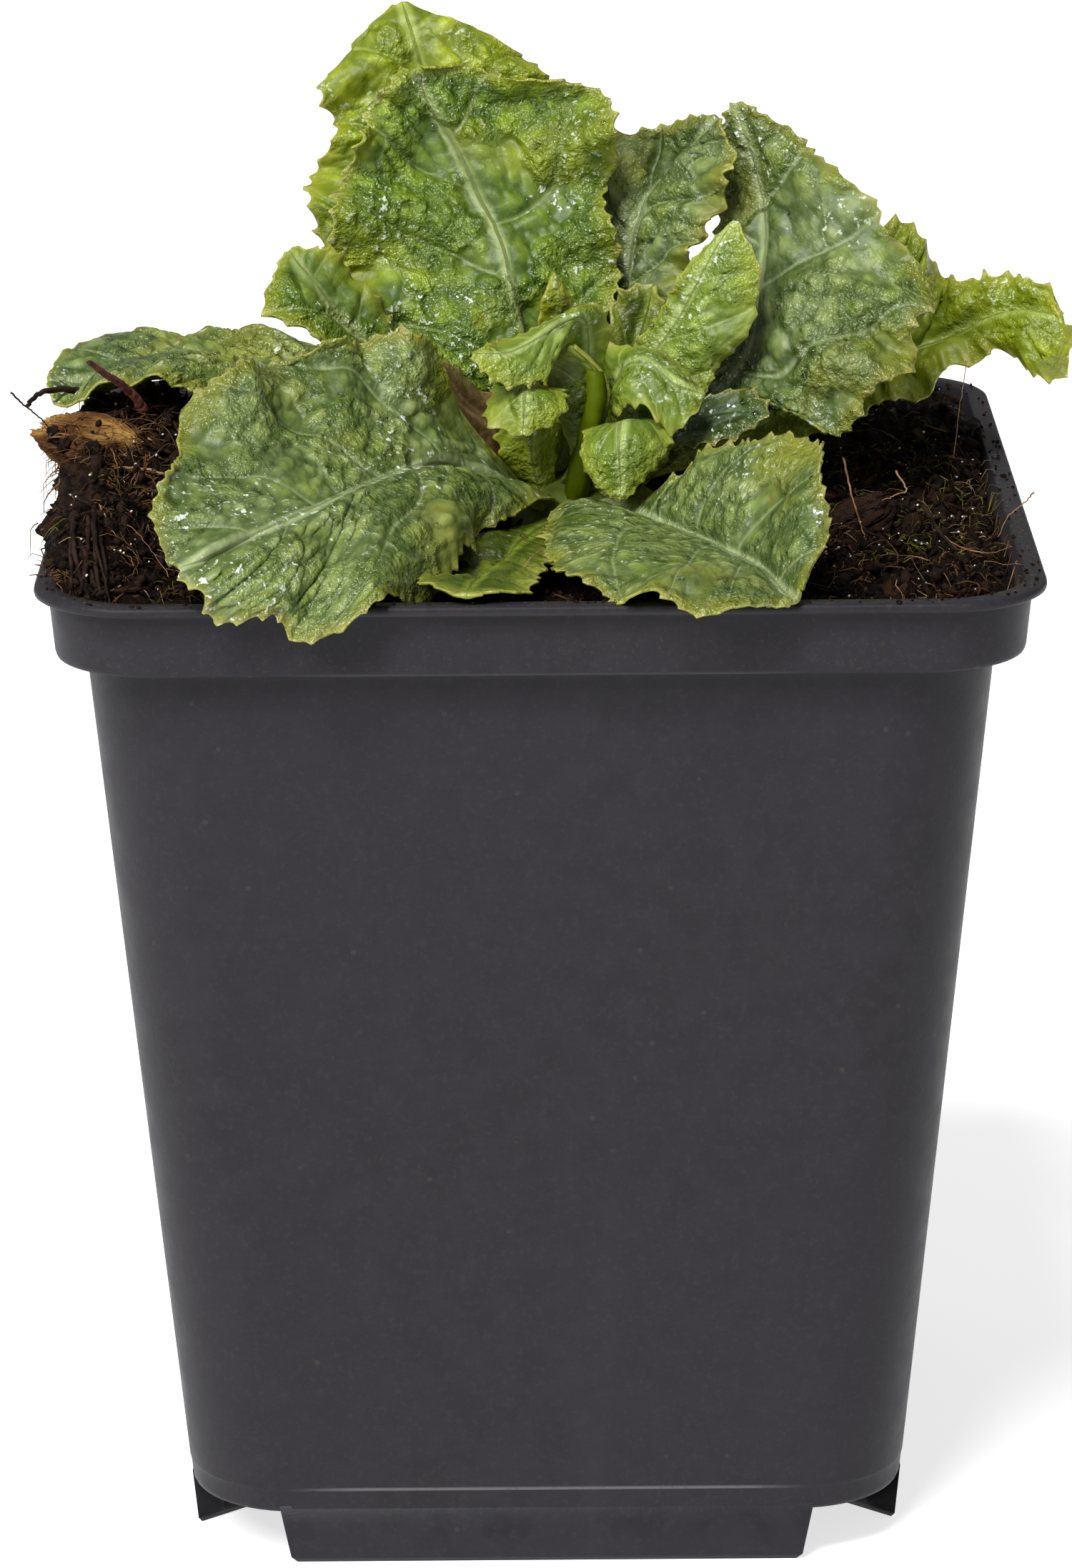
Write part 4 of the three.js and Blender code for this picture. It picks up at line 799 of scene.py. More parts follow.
def clods(x, y):
    """Height of the clods over the ground, and how deep in a crack each place is."""
    big, big_second = cells2(x, y, 6.5, 1)
    small, small_second = cells2(x + 0.8 * noise2(x / 3, y / 3, 9), y, 2.6, 2)
    tiny, _ = cells2(x, y, 1.1, 3)
    crack = 1 - smoothstep(small_second - small, 0.0, 0.3) * smoothstep(big_second - big, 0.0, 0.16)
    height = 1.5 * (0.55 - big) + 1.1 * (0.5 - small) + 0.45 * (0.5 - tiny)
    return height - 0.7 * crack + 0.25 * noise2(x * 1.6, y * 1.6, 4), crack


def soil_top(x, y):
    """The soil's surface, calm close to the lip."""
    from_edge = SOIL_HALF - np.maximum(np.abs(x), np.abs(y))
    rise, _ = clods(x, y)
    top = ground(x, y) + rise * smoothstep(from_edge, -1, 3.5)
    over = np.clip(-from_edge / OVERHANG, 0, 1)
    spilled = LIP_TOP + (top - LIP_TOP) * np.sqrt(1 - over**2)
    return np.where((over > 0) & (top > LIP_TOP), spilled, top)


def make_soil():
    """The body of the soil: its top, the heap's overhang, and the plain sides and floor in the pot."""
    outer = square_ring(1.0, SOIL_RADIUS / SOIL_HALF, 52, 16) * SOIL_HALF
    around = len(outer)
    plan = np.linspace(0.01, 1, TOP_RINGS)[:, None, None] * outer
    x, y = plan[..., 0], plan[..., 1]
    _, crack = clods(x, y)
    rings = [*np.stack([x, y, soil_top(x, y)], -1)]
    rim = rings[-1]
    heaped = smoothstep(rim[:, 2], LIP_TOP, LIP_TOP + 1.2)
    for over in (0.4, 0.75, 1.0):
        lumps = 0.7 * noise2(rim[:, 0] + over * 3, rim[:, 1] / 1.6, 8)
        spread = 1 + ((OVERHANG * over + lumps) * heaped / SOIL_HALF)[:, None]
        spilled = LIP_TOP + (rim[:, 2] - LIP_TOP) * math.sqrt(1 - 0.97 * over**2)
        height = np.where(heaped > 0, spilled, rim[:, 2] - 0.3 * over)
        rings.append(np.column_stack([rim[:, :2] * spread, height]))
    rings.append(np.column_stack([rim[:, :2], np.minimum(rim[:, 2] - 0.9, POT_HEIGHT - 0.2)]))
    in_collar = (SOIL_HALF, COLLAR_BOTTOM + 1.4)
    in_walls = (BODY_TOP_HALF - 0.9, COLLAR_BOTTOM + 1)
    on_floor = (FLOOR_HALF - 1.2, FLOOR_TOP + 0.4)
    for half, z in (in_collar, in_walls, on_floor):
        rings.append(np.column_stack([outer * (half / SOIL_HALF), np.full(around, z)]))
    rings.append(rings[-1] * (0.01, 0.01, 1))
    # painted shade: full in the cracks between the clods, less on the soil's sides and floor in the pot
    painted_shade = np.full(around * len(rings), 0.3)
    painted_shade[: crack.size] = crack.ravel()
    faces = tube_faces(len(rings), around)
    make_piece("soil_body", np.concatenate(rings), faces, soil_material(), "peat", {"painted_shade": painted_shade}, ["soil"])


def ball(detail):
    """A sphere of triangles, as points and faces."""
    mesh = bpy.data.meshes.new("ball")
    work = bmesh.new()
    bmesh.ops.create_icosphere(work, subdivisions=detail, radius=1)
    work.to_mesh(mesh)
    work.free()
    points = np.array([v.co for v in mesh.vertices])
    faces = np.array([p.vertices for p in mesh.polygons])
    bpy.data.meshes.remove(mesh)
    return points, faces


def turned(rng, count):
    """Random turns, as matrices."""
    w, x, y, z = unit(rng.normal(size=(count, 4))).T
    rows = [
        [1 - 2 * (y * y + z * z), 2 * (x * y - z * w), 2 * (x * z + y * w)],
        [2 * (x * y + z * w), 1 - 2 * (x * x + z * z), 2 * (y * z - x * w)],
        [2 * (x * z - y * w), 2 * (y * z + x * w), 1 - 2 * (x * x + y * y)],
    ]
    return np.moveaxis(np.array(rows), -1, 0)


def scatter(name, rng, places, sizes, shape, detail, roughness, material, slot):
    """Many rough lumps in one piece. shape is the stretch along each of a lump's own axes."""
    points, faces = ball(detail)
    count = len(places)
    dents = 1 + roughness * rng.uniform(-1, 1, (count, len(points), 1))
    stretch = np.asarray(shape) * rng.uniform(0.7, 1.3, (count, 1, 3))
    local = points[None] * dents * stretch * sizes[:, None, None]
    world = np.einsum("nij,npj->npi", turned(rng, count), local) + places[:, None]
    make_piece(name, *copies(world, faces), material, slot)


def strands(name, lines, radii, sides, material, slot, taper=0.35):
    """Thin closed strands along lines of equal numbers of points, in one piece."""
    lines = np.asarray(lines, float)
    count, steps, _ = lines.shape
    ahead = unit(np.gradient(lines, axis=1))
    aside = unit(np.cross(ahead, (0.31, 0.52, 0.79)))
    above = np.cross(ahead, aside)
    angle = np.linspace(0, 2 * math.pi, sides, endpoint=False)[:, None]
    along = np.linspace(0, 1, steps)[None, :, None, None]
    radius = np.asarray(radii)[:, None, None, None] * (1 - (1 - taper) * along)
    ring = aside[:, :, None] * np.cos(angle) + above[:, :, None] * np.sin(angle)
    tube = lines[:, :, None] + ring * radius
    points = np.concatenate([lines[:, :1], tube.reshape(count, -1, 3), lines[:, -1:]], axis=1)
    walls = tube_faces(steps, sides, 1)
    first = np.arange(sides) + 1
    last = first + (steps - 1) * sides
    start_cap = np.stack([np.zeros(sides, int), np.roll(first, -1), first], -1)
    end_cap = np.stack([np.full(sides, steps * sides + 1), last, np.roll(last, -1)], -1)
    faces = np.concatenate([walls[:, [0, 1, 2]], walls[:, [0, 2, 3]], start_cap, end_cap])
    return make_piece(name, *copies(points, faces), material, slot)


def kept_inside(x, y, radius):
    """Places, moved in from outside the round corners of the soil."""
    reach = SOIL_HALF - SOIL_RADIUS
    corner_x, corner_y = np.clip(x, -reach, reach), np.clip(y, -reach, reach)
    aside_x, aside_y = x - corner_x, y - corner_y
    outside = (aside_x != 0) & (aside_y != 0)
    far = np.where(outside, np.maximum(1, np.hypot(aside_x, aside_y) / radius), 1)
    return corner_x + aside_x / far, corner_y + aside_y / far


def on_soil(x, y):
    return np.stack([x, y, soil_top(x, y)], -1)


def soil_places(rng, count, reach=1.0):
    """Random places on the soil's surface, more of them where it lies open at the two sides."""
    x, y = rng.uniform(-SOIL_HALF * reach, SOIL_HALF * reach, (2, count))
    region = rng.random(count)
    heap = region < HEAP_SHARE
    open_side = region > 1 - OPEN_SHARE
    x = np.where(heap, rng.uniform(-SOIL_HALF - OVERHANG, HEAP_RIGHT, count), x)
    x = np.where(open_side, rng.uniform(OPEN_LEFT, SOIL_HALF * reach, count), x)
    y = np.where(heap, rng.uniform(*HEAP_Y, count), y)
    y = np.where(open_side, rng.uniform(*OPEN_Y, count), y)
    return on_soil(*kept_inside(x, y, SOIL_RADIUS))


def raised(places, lift):
    return places + np.multiply.outer(lift, (0, 0, 1))


def fibres(name, rng, starts, lengths, steps, wander, rise, radii, material, slot):
    """Thin fibres that wander from their starts and bend back down to the soil.

    lengths and radii are the least and the greatest.
    """
    count = len(starts)
    step = (rng.uniform(*lengths, count) / (steps - 1))[:, None]
    heading = rng.uniform(0, 2 * math.pi, count)
    slope = rng.uniform(-0.2, rise, count)
    lines = np.zeros((count, steps, 3))
    lines[:, 0] = starts
    for k in range(1, steps):
        heading = heading + rng.normal(0, wander, count)
        slope = slope - rise * 2.2 / steps + rng.normal(0, 0.18, count)
        way = unit(np.stack([np.cos(heading), np.sin(heading), slope], -1))
        x, y, z = (lines[:, k - 1] + way * step).T
        x = np.clip(x, -SOIL_HALF - OVERHANG - STRAY, SOIL_HALF + 1)
        y = np.clip(y, -SOIL_HALF - 1, SOIL_HALF + 1)
        x, y = kept_inside(x, y, SOIL_RADIUS + 1)
        low = soil_top(x, y) - 0.2
        over_lip = np.maximum(np.abs(x), np.abs(y)) > SOIL_HALF
        low = np.where(over_lip, np.maximum(low, LIP_TOP), low)
        lines[:, k] = np.stack([x, y, np.maximum(z, low)], -1)
    strands(name, lines, rng.uniform(*radii, count), 3, material, slot)


def drawn_strands(name, drawn, material, slot, taper=0.45):
    """Strands along lines of few points each, given as (radius, points)."""
    share = np.linspace(0, 1, 26)
    rng = np.random.default_rng(len(drawn))
    lines = [catmull(points, share) + rng.normal(0, 0.04, (26, 3)) for _, points in drawn]
    strands(name, lines, [radius for radius, _ in drawn], 6, material, slot, taper)


crumb = plain_material("peat crumbs", (0.002, 0.001, 0.0006), (0.02, 0.01, 0.005), 900, 0.85)


def dress_soil():
    """The loose bits on the soil and on the pot's lip."""
    rng = np.random.default_rng(21)
    bark = plain_material(
        "bark chips", (0.005, 0.0025, 0.0015), (0.04, 0.019, 0.009), 900, 0.85, (1, 1, 0.3), 1.0, 0.001
    )
    tan = plain_material("tan fibres", (0.1, 0.052, 0.022), (0.34, 0.21, 0.11), 300, 0.7)
    brown = plain_material("brown fibres", (0.006, 0.003, 0.0015), (0.095, 0.046, 0.019), 260, 0.8)
    moss = plain_material("moss", (0.02, 0.022, 0.002), (0.12, 0.12, 0.014), 500, 0.75)
    grit = plain_material("pale grit", (0.42, 0.4, 0.36), (0.8, 0.78, 0.74), 900, 0.4)
    places = soil_places(rng, CRUMBS)
    sizes = np.clip(rng.lognormal(-0.75, 0.35, CRUMBS), 0.3, 0.9)
    places = raised(places, sizes * 0.2)
    scatter("soil_crumbs", rng, places, sizes, (1.2, 1, 0.75), 2, 0.34, crumb, "peat")
    places = soil_places(rng, GRAINS)
    sizes = rng.uniform(0.14, 0.42, GRAINS)
    scatter("soil_grains", rng, raised(places, sizes), sizes, (1.3, 1, 0.7), 1, 0.3, crumb, "peat")
    places = soil_places(rng, CHIPS, 0.96)
    sizes = rng.uniform(0.35, 0.85, CHIPS)
    scatter("soil_chips", rng, raised(places, 0.3), sizes, (2.3, 1, 0.4), 2, 0.3, bark, "bark")
    places = soil_places(rng, GRIT)
    sizes = rng.uniform(0.07, 0.15, GRIT)
    places = raised(places, rng.uniform(0.2, 0.9, GRIT))
    scatter("soil_grit", rng, places, sizes, (1, 1, 1), 1, 0.2, grit, "peat")
    ring = square_ring(LIP_HALF, LIP_RADIUS, 200, 60)
    sizes = rng.uniform(0.08, 0.2, LIP_GRAINS)
    plan = ring[rng.integers(0, len(ring), LIP_GRAINS)] * rng.uniform(0.955, 0.993, (LIP_GRAINS, 1))
    places = np.column_stack([plan, POT_HEIGHT + sizes * 0.5])
    scatter("lip_grains", rng, places, sizes, (1.3, 1, 0.8), 1, 0.3, bark, "bark")
    starts = soil_places(rng, DARK_FIBRES, 0.99)
    fibres("soil_fibres_dark", rng, starts, (0.8, 3.6), 4, 0.5, 1.3, (0.05, 0.13), brown, "bark")
    starts = soil_places(rng, TAN_FIBRES, 0.98)
    fibres("soil_fibres_tan", rng, starts, (1.2, 8), 7, 0.4, 1.1, (0.03, 0.08), tan, "wood")
    x, y, _ = soil_places(rng, MOSS_TUFTS, 0.95).T
    x[:OPEN_TUFTS] = rng.uniform(28, 41, OPEN_TUFTS)
    y[:OPEN_TUFTS] = rng.uniform(-26, 12, OPEN_TUFTS)
    starts = np.repeat(on_soil(x, y), MOSS_BLADES, axis=0)
    starts = starts + rng.normal(0, 0.9, starts.shape) * (1, 1, 0.3)
    fibres("soil_moss", rng, starts, (1, 4.5), 6, 0.45, 1.4, (0.04, 0.1), moss, "leaf_green")


make_soil()
dress_soil()


# ---------- wood, twigs and roots ----------
def make_chunk(name, place, size, turn, grain, material, slot, node):
    """A piece of wood with grain along its length and worn ends, turned about x, y and z."""
    points, faces = ball(5)
    x, y, z = points.T
    angle = np.arctan2(z, y)
    fibrous = noise2(angle * 5 + 9, x * 1.2, 51) + 0.6 * noise2(angle * 13 + 3, x * 2.4, 52)
    lumps = noise2(x * 2.1 + 5, angle * 1.3, 53)
    swell = 1 + grain * fibrous + 0.18 * lumps
    about_x, about_y, about_z = (Matrix.Rotation(turn[k], 3, "XYZ"[k]) for k in range(3))
    axes = np.array(about_x @ about_y @ about_z)
    world = (points * swell[:, None] * np.array(size)) @ axes.T + np.array(place)
    make_piece(name, world, faces, material, slot, None, [node])


tan_wood = plain_material(
    "tan wood", (0.07, 0.028, 0.008), (0.38, 0.205, 0.055), 170, 0.75, (0.35, 1.6, 1.6), 1.0, 0.0014
)
chip_wood = plain_material(
    "brown bark", (0.004, 0.002, 0.0013), (0.022, 0.0105, 0.006), 240, 0.85, (0.6, 1, 1), 1.0, 0.002
)
root_bark = plain_material("root bark", (0.005, 0.0028, 0.0022), (0.028, 0.014, 0.009), 500, 0.7)
red_bark = plain_material("red twig", (0.022, 0.009, 0.007), (0.15, 0.055, 0.04), 260, 0.7)
chip_fibre = plain_material("wood fibres", (0.05, 0.024, 0.01), (0.2, 0.11, 0.045), 300, 0.7)
make_chunk(
    "wood_lump", WOOD_PLACE, (5.4, 3.2, 2.5), (0.1, 0.24, -0.2), 0.16, tan_wood, "wood", "wood_chunk"
)
make_chunk(
    "bark_lump", (29.6, -12, 95.2), (3.4, 2.6, 1.5), (0.5, -0.3, 0.5), 0.2, chip_wood, "bark", "bark_chip"
)


def dress_heap():
    """Clods that stand out from the heap's open side, crumbs on the wood, and fibres round it."""
    rng = np.random.default_rng(27)
    x = rng.uniform(-SOIL_HALF - OVERHANG, 1.5 - SOIL_HALF, HEAP_CLODS)
    y = rng.uniform(-24, 10, HEAP_CLODS)
    flank = on_soil(*kept_inside(x, y, SOIL_RADIUS))
    sizes = rng.uniform(0.3, 1.05, HEAP_CLODS)
    flank[:, 2] = np.maximum(flank[:, 2], LIP_TOP + sizes * 0.6)
    scatter("heap_clods", rng, flank, sizes, (1.25, 1, 0.8), 2, 0.42, crumb, "peat")
    outward = unit(rng.normal(size=(WOOD_CRUMBS, 3)) * (0.6, 1, 0.6) + (-1.1, 0, 0.7))
    sizes = rng.uniform(0.15, 0.5, WOOD_CRUMBS)
    on_wood = WOOD_PLACE + outward * (5.0, 3.0, 2.4)
    scatter("wood_crumbs", rng, on_wood, sizes, (1.25, 1, 0.8), 2, 0.42, crumb, "peat")
    starts = on_soil(rng.uniform(-44, -30, HEAP_FIBRES), rng.uniform(-14, 5, HEAP_FIBRES))
    fibres("heap_fibres", rng, starts, (2, 7), 7, 0.3, 1.2, (0.05, 0.14), chip_fibre, "wood")


def make_twig(name, line, radius, material, node):
    drawn = catmull(line[::-1], np.linspace(0, 1, 40))
    wobble = np.random.default_rng(len(line)).normal(0, 0.05, (40, 3))
    piece = strands(name, [drawn + wobble], [radius], 10, material, "bark", 0.5)
    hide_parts(node)


def dress_roots():
    """The loose roots that stand out from the soil, and the frayed fibres of the wood."""
    rng = np.random.default_rng(33)
    pale = plain_material("pale roots", (0.1, 0.05, 0.022), (0.3, 0.17, 0.085), 260, 0.6)
    pale_roots = [
        (0.11, [(28.3, -8, 100.2), (28.8, -12, 97.9), (29.4, -18, 96.3), (29.8, -21, 95.2)]),
        (0.1, [(33.1, -10, 99.3), (33.9, -12, 97.9), (33, -12.6, 97.7), (31.6, -13.2, 97.3)]),
        (0.09, [(36.1, -19, 96), (38.5, -24, 95.5), (40.8, -26, 95.6), (42.7, -26, 96.2)]),
        (0.08, [(45.9, -10, 97.2), (44.5, -14, 97), (42.9, -17, 96.6), (41.9, -20, 95.6)]),
        (0.06, [(40.6, 6, 107.8), (40.4, 4, 105.5), (39.9, 2, 103.2), (39.1, 0, 98)]),
        (0.06, [(-40, -22, 99.6), (-38.2, -26, 98), (-36.4, -30, 96)]),
        (0.06, [(-38.8, -21, 98.5), (-36.3, -26, 98), (-33.2, -32, 95.6)]),
        (0.22, [(-41.4, -9.8, 100.2), (-40, -10.6, 100.3), (-37.4, -11.2, 100.4), (-34.6, -12, 100.1)]),
        (0.07, [(-44.6, -8, 100), (-44.6, -9.5, 98.6), (-44.9, -11, 97.8), (-44.4, -12, 97.4)]),
    ]
    dark_roots = [
        (0.22, [(35.4, -14, 97), (36.3, -19, 96.2), (37.8, -26, 95.3), (39, -31, 94.4)]),
        (0.1, [(-49.2, -5, 106.2), (-47.9, -5, 104.9), (-46.4, -5, 103.6), (-45.2, -5, 102)]),
    ]
    # a bundle of much the same roots runs down the heap
    bundle = np.array([(-40.8, -22, 99.2), (-40.4, -28, 98), (-40, -33, 96.2), (-39.5, -37, 94.4)])
    for _ in range(10):
        aside = rng.normal(0, (1.0, 0.8, 0.35)) + rng.normal(0, 0.35, (4, 3))
        dark_roots.append((rng.uniform(0.14, 0.34), bundle + aside))
    drawn_strands("roots_pale", pale_roots, pale, "wood")
    drawn_strands("roots_dark", dark_roots, root_bark, "bark", 0.6)
    outward = unit(rng.normal(size=(WOOD_FIBRES, 3)) * (0.6, 1, 1))
    starts = WOOD_PLACE + outward * (5.2, 3.1, 2.4)
    fibres("wood_fibres", rng, starts, (1.5, 6), 7, 0.3, 0.7, (0.04, 0.11), chip_fibre, "wood")


def make_crown():
    """The ribbed rootstock in the middle of the rosette, and the one stalk that stands free of it."""
    points, faces = ball(5)
    lumps = 1 + 0.03 * np.sin(5 * points[:, 0] + 2) * np.cos(4 * points[:, 1] + 1)
    ribs = 0.03 * np.sin(14 * np.arctan2(points[:, 1], points[:, 0]))
    world = points * (lumps + ribs)[:, None] * (8.4, 8.2, 5.6) + (3.5, -3.8, 92.6)
    stem = plain_material("crown", (0.04, 0.06, 0.008), (0.13, 0.17, 0.03), 260, 0.55, (1, 1, 0.3))
    make_piece("crown_body", world, faces, stem, "crown", None, ["crown"])
    flesh = plain_material("stalk", (0.035, 0.055, 0.0003), (0.07, 0.1, 0.0006), 200, 0.5, (1, 1, 0.25))
    stalk = [(3.4, -8.2, 96), (3.7, -9.6, 99), (4.6, -10.1, 103), (5.3, -10.1, 106.5), (5.2, -9.7, 109)]
    drawn_strands("centre_stalk", [(1.25, stalk)], flesh, "leaf_green", 0.7)


dark_line = [(-47.8, -4, 104.7), (-46.7, -4, 105.9), (-45.3, -3, 106), (-43.2, -1, 105.4), (-40.6, 0, 104.2),
             (-38.8, 1, 102.4)]
red_line = [(-41.6, -9, 110), (-40.4, -8.2, 108.9), (-38.9, -6.8, 107.4), (-37.6, -5.2, 105.8),
            (-36.9, -4.2, 104.2)]
dress_heap()
make_twig("dark_twig", dark_line, 0.42, root_bark, "twig_dark")
make_twig("red_twig", red_line, 0.5, red_bark, "twig_red")
dress_roots()
make_crown()


# ---------- pot ----------
def body_half(z):
    """Half width of the pot's body at a height."""
    return FLOOR_HALF + (BODY_TOP_HALF - FLOOR_HALF) * (z - BODY_FOOT) / (COLLAR_BOTTOM - BODY_FOOT)


def pot_profile():
    """Rings from the floor up and back down inside: half width, corner radius, height, dust, paleness."""
    floor, body, collar, collar_top, lip = FLOOR_HALF, BODY_TOP_HALF, COLLAR_FOOT_HALF, COLLAR_HALF, LIP_HALF
    foot, under_lip, top = COLLAR_BOTTOM, POT_HEIGHT - LIP_THICK, POT_HEIGHT
    walls = [
        (6.2, 0, 0.15, 0),
        (7.5, 0, 0.15, 0),
        (7.6, 0.03, 0.15, 0.5),  # the mould's parting line stands out, and is paler
        (7.75, 0.07, 0.15, 0.5),
        (7.95, 0.07, 0.15, 0),
        *((z, 0.07, 0.1, 0) for z in np.linspace(9, foot - 1, 34)),
    ]
    rise = np.linspace(0.1, 0.93, 8)
    return [
        (0.4, 0.1, FLOOR_Z, 0.1, 0),
        (floor - 0.55, BODY_RADIUS - 0.5, FLOOR_Z, 0.1, 0),
        (floor - 0.2, BODY_RADIUS - 0.2, FLOOR_Z + 0.15, 0.1, 0),
        (floor - 0.03, BODY_RADIUS, FLOOR_Z + 0.5, 0.1, 0),
        *((body_half(z) + out, BODY_RADIUS, z, dust, pale) for z, out, dust, pale in walls),
        (body + 0.05, BODY_RADIUS, foot - 0.6, 0.15, 0),
        (body + 0.2, BODY_RADIUS, foot - 0.2, 0.25, 0),
        (body + 0.5, COLLAR_RADIUS + 0.5, foot, 0.3, 0),
        (collar - 0.35, COLLAR_RADIUS, foot, 0.2, 0.1),
        (collar - 0.1, COLLAR_RADIUS, foot + 0.1, 0.2, 0.15),
        (collar, COLLAR_RADIUS, foot + 0.35, 0.2, 0),
        *((collar + COLLAR_SPREAD * k, COLLAR_RADIUS, foot + (under_lip - foot) * k, 0.2, 0) for k in rise),
        (collar_top, COLLAR_RADIUS, under_lip - 0.12, 0.2, 0),
        (collar_top + 0.15, COLLAR_RADIUS, under_lip, 0.2, 0),
        (lip - 0.25, LIP_RADIUS - 0.1, under_lip, 0.1, 0.05),
        (lip - 0.05, LIP_RADIUS, under_lip + 0.15, 0.1, 0.05),
        (lip, LIP_RADIUS, top - LIP_THICK * 0.5, 0.15, 0),
        (lip - 0.05, LIP_RADIUS, top - 0.18, 0.25, 0),
        (lip - 0.28, LIP_RADIUS - 0.1, top - 0.02, 0.5, 0),
        (lip - 0.7, LIP_RADIUS - 0.2, top, 1, 0),
        (collar_top - WALL + 0.2, COLLAR_RADIUS - 0.6, top, 1, 0),
        (collar_top - WALL, COLLAR_RADIUS - WALL, top - 0.25, 0.9, 0),
        (collar - WALL, COLLAR_RADIUS - WALL, foot + WALL, 0.5, 0),
        (body - WALL, BODY_RADIUS - WALL, foot + WALL - 0.1, 0.4, 0),
        (floor - WALL, BODY_RADIUS - WALL, FLOOR_TOP, 0.4, 0),
        (0.4, 0.1, FLOOR_TOP, 0.4, 0),
    ]


def make_pot(plastic):
    """The moulded shell, closed at its floor, with the drain holes cut through it."""
    rings = np.array(pot_profile())
    plans = [square_ring(half, radius, 26, 14) for half, radius in rings[:, :2]]
    around = len(plans[0])
    height, dust, pale = np.repeat(rings[:, 2:], around, axis=0).T
    points = np.column_stack([np.concatenate(plans), height])
    # the parting line fades at the corners
    corner = np.minimum(np.abs(points[:, 0]), np.abs(points[:, 1]))
    marks = {"dust": dust, "pale": pale * (1 - smoothstep(corner, 17, 25))}
    faces = tube_faces(len(rings), around)
    shell = make_piece("pot_shell", points, faces, plastic, "pot_plastic", marks, ["pot"])
    work = bmesh.new()
    work.from_mesh(shell.data)
    verts = list(work.verts)
    work.faces.new(verts[:around][::-1])
    work.faces.new(verts[-around:])
    work.to_mesh(shell.data)
    work.free()
    drain_holes(shell)


def drain_holes(shell):
    """Cuts the drain holes and keeps the result as the shell's own mesh."""
    mesh = bpy.data.meshes.new("drains")
    work = bmesh.new()
    for x, y in [(0, 0)] + [(x, y) for x in (-DRAIN_OUT, DRAIN_OUT) for y in (-DRAIN_OUT, DRAIN_OUT)]:
        spot = (np.array([x, y, FLOOR_Z + FLOOR_THICK / 2]) + POT_CENTRE) * MM
        size = dict(radius1=DRAIN_RADIUS * MM, radius2=DRAIN_RADIUS * MM, depth=4 * MM)
        bmesh.ops.create_cone(work, cap_ends=True, segments=40, matrix=Matrix.Translation(spot), **size)
    work.to_mesh(mesh)
    work.free()
    cutter = placed("drains", mesh)
    cut = shell.modifiers.new("drains", "BOOLEAN")
    cut.operation = "DIFFERENCE"
    cut.solver = "EXACT"
    cut.object = cutter
    graph = bpy.context.evaluated_depsgraph_get()
    result = bpy.data.meshes.new_from_object(shell.evaluated_get(graph))
    shell.modifiers.clear()
    shell.data = result
    bpy.data.objects.remove(cutter)


def bar_ring(half, face, z):
    """The corners, at one height, of the bar at the front."""
    back = face - BAR_DEEP
    return [(-half, -face, z), (half, -face, z), (half - BAR_SLANT, -back, z), (BAR_SLANT - half, -back, z)]


def make_feet(plastic):
    """The four bars that the pot stands on, with softened edges."""
    foot = bar_ring(23.4, FEET_FACE - 0.7, 0)
    bar = [foot, bar_ring(24, FEET_FACE - 0.4, 0.6), bar_ring(25, FEET_FACE, BODY_FOOT)]
    work = bmesh.new()
    for side in range(4):
        turn = np.array(Matrix.Rotation(side * math.pi / 2, 3, "Z"))
        corners = (bar @ turn.T + POT_CENTRE) * MM
        verts = [[work.verts.new(p) for p in ring] for ring in corners]
        for ring, above in zip(verts, verts[1:]):
            for k in range(4):
                work.faces.new([ring[k], ring[(k + 1) % 4], above[(k + 1) % 4], above[k]])
        work.faces.new(verts[0][::-1])
        work.faces.new(verts[-1])
    sharp = [edge for edge in work.edges if edge.calc_face_angle(0) > 0.5]
    bmesh.ops.bevel(work, geom=sharp, offset=0.25 * MM, segments=3, profile=0.5, affect="EDGES")
    bmesh.ops.triangulate(work, faces=[f for f in work.faces if len(f.verts) > 4])
    mesh = bpy.data.meshes.new("pot_feet")
    work.to_mesh(mesh)
    work.free()
    mesh.shade_smooth()
    mesh.materials.append(plastic)
    piece = placed("pot_feet", mesh)
    piece.modifiers.new("normals", "WEIGHTED_NORMAL").keep_sharp = False
    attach(piece, "root")


pot_plastic = pot_material()
make_pot(pot_plastic)
make_feet(pot_plastic)


# ---------- wet drops ----------
def make_drops():
    """Small drops that sit on the wet leaves."""
    rng = np.random.default_rng(5)
    water = Nodes("water").finish(Base_Color=(1, 1, 1), Roughness=0.03, IOR=1.33, Transmission_Weight=1.0)
    points, faces = ball(3)
    drops = []
    for tops, normals, count in wet_places:
        tops, normals = tops.reshape(-1, 3), normals.reshape(-1, 3)
        for k in rng.choice(len(tops), count, replace=False):
            size = rng.uniform(0.18, 0.5)
            aside = unit(np.cross(normals[k], [0.3, 0.5, 0.81]))
            axes = np.stack([aside, np.cross(normals[k], aside), normals[k] * 0.55])
            drops.append(points * size @ axes + tops[k] + normals[k] * size * 0.1)
    make_piece("water_drops", *copies(np.array(drops), faces), water, "leaf_glaucous")


make_drops()

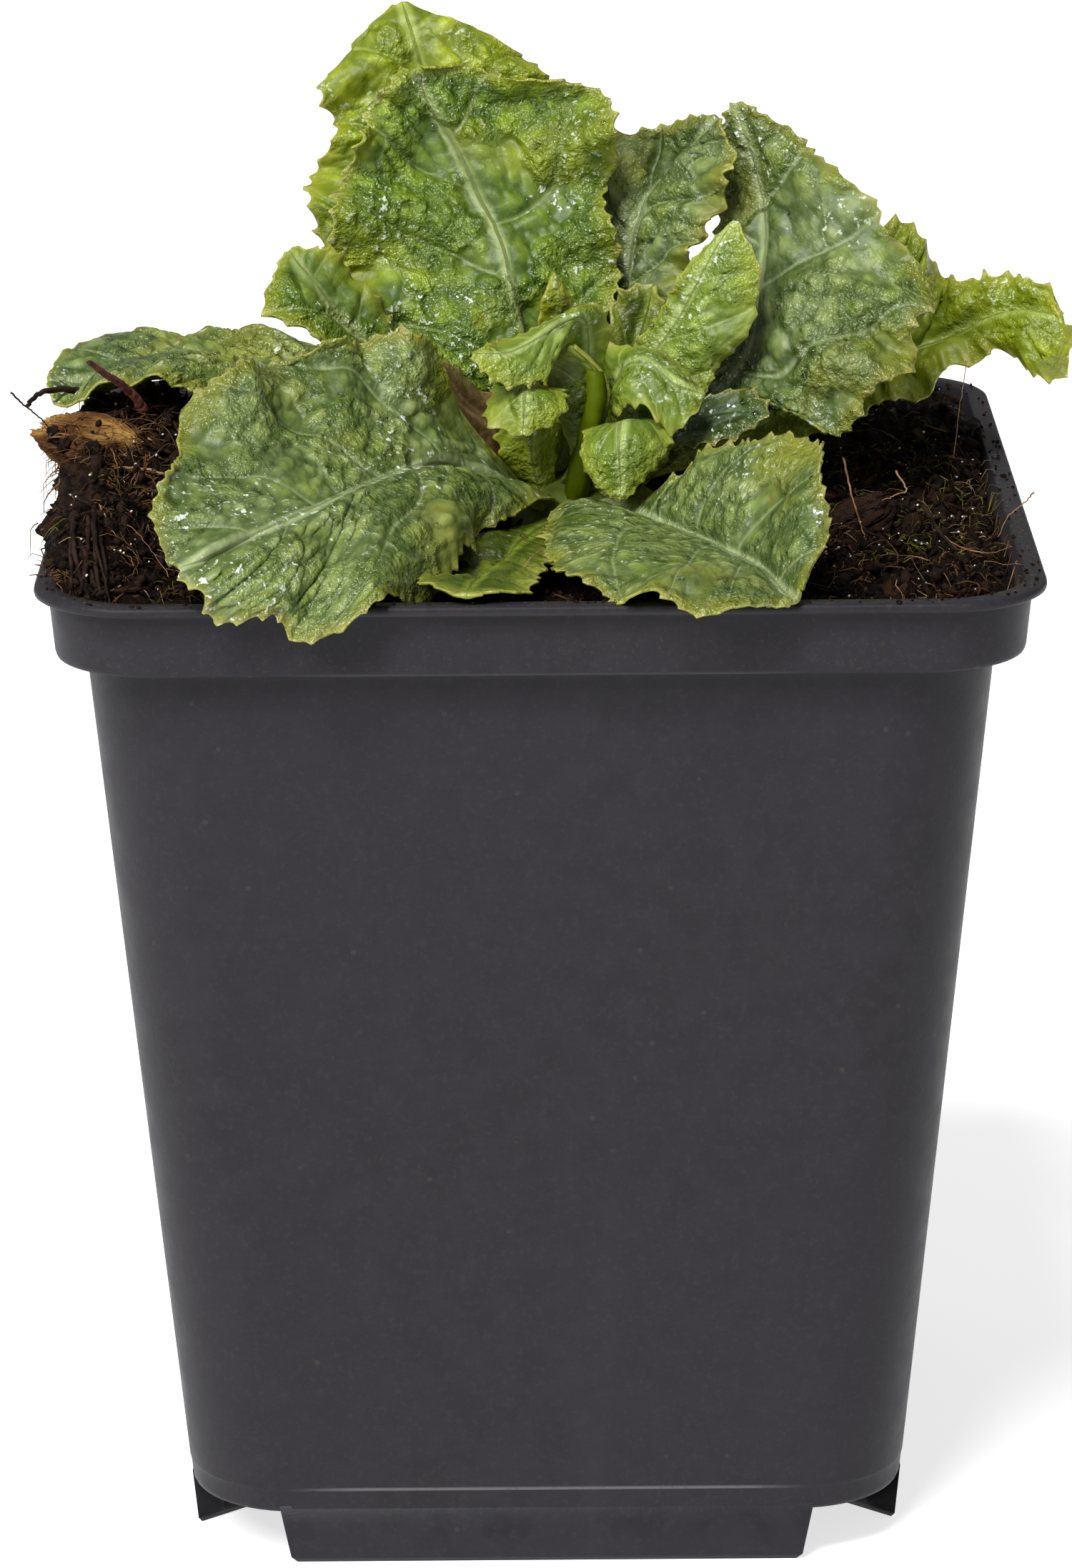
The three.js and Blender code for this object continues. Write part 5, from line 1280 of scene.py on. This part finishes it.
# ---------- stage ----------
FLOOR_REACH = 3.0  # metres from the pot
floor_mesh = bpy.data.meshes.new("floor")
floor_corners = [(FLOOR_REACH * x, FLOOR_REACH * y, 0) for x, y in ((-1, -1), (1, -1), (1, 1), (-1, 1))]
floor_mesh.from_pydata(floor_corners, [], [(0, 1, 2, 3)])
floor = placed("floor", floor_mesh)
floor_paint = dict(Base_Color=(0.65, 0.65, 0.65), Roughness=0.9)
floor_glow = dict(Emission_Color=(1, 1, 1), Emission_Strength=0.7)
floor_mesh.materials.append(Nodes("floor").finish(**floor_paint, **floor_glow))

world = bpy.data.worlds.new("studio")
bpy.context.scene.world = world
world.use_nodes = True
sky = world.node_tree.nodes["Background"].inputs
sky["Color"].default_value = (1, 1, 1, 1)
sky["Strength"].default_value = 0.27
bpy.context.scene.view_settings.view_transform = "Standard"


def aimed_lamp(name, kind, place, power):
    """A lamp at a place in metres that faces the plant."""
    lamp = bpy.data.lights.new(name, kind)
    lamp.energy = power
    piece = placed(name, lamp)
    piece.location = place
    piece.rotation_euler = (Vector((0, 0, 0.1)) - Vector(place)).to_track_quat("-Z", "Y").to_euler()
    return lamp


overhead = aimed_lamp("overhead", "SUN", (-0.2, -0.5, 1.0), 2.6)
overhead.angle = math.radians(15)
softbox = aimed_lamp("key", "AREA", (-0.34, -0.42, 0.5), 3.3)
softbox.shape = "RECTANGLE"
softbox.size = softbox.size_y = 0.2

# ---------- camera ----------
CAMERA_PLACE = (-0.52, -543.6, 231.03)
PITCH = 0.2944  # radians below level
ROLL = math.radians(0.41)
SENSOR = 36.0
FOCAL_PIXELS = 8278.9  # the focal length, in pixels of the photo
PHOTO_HEIGHT = 2194  # pixels
lens = bpy.data.cameras.new("camera")
lens.sensor_width = SENSOR
lens.lens = FOCAL_PIXELS * SENSOR / PHOTO_HEIGHT
lens.clip_start = 0.05
camera = placed("camera", lens)
aim = Matrix.Rotation(math.pi / 2 - PITCH, 4, "X") @ Matrix.Rotation(-ROLL, 4, "Z")
camera.matrix_world = Matrix.Translation((CAMERA_PLACE + POT_CENTRE) * MM) @ aim
bpy.context.scene.camera = camera
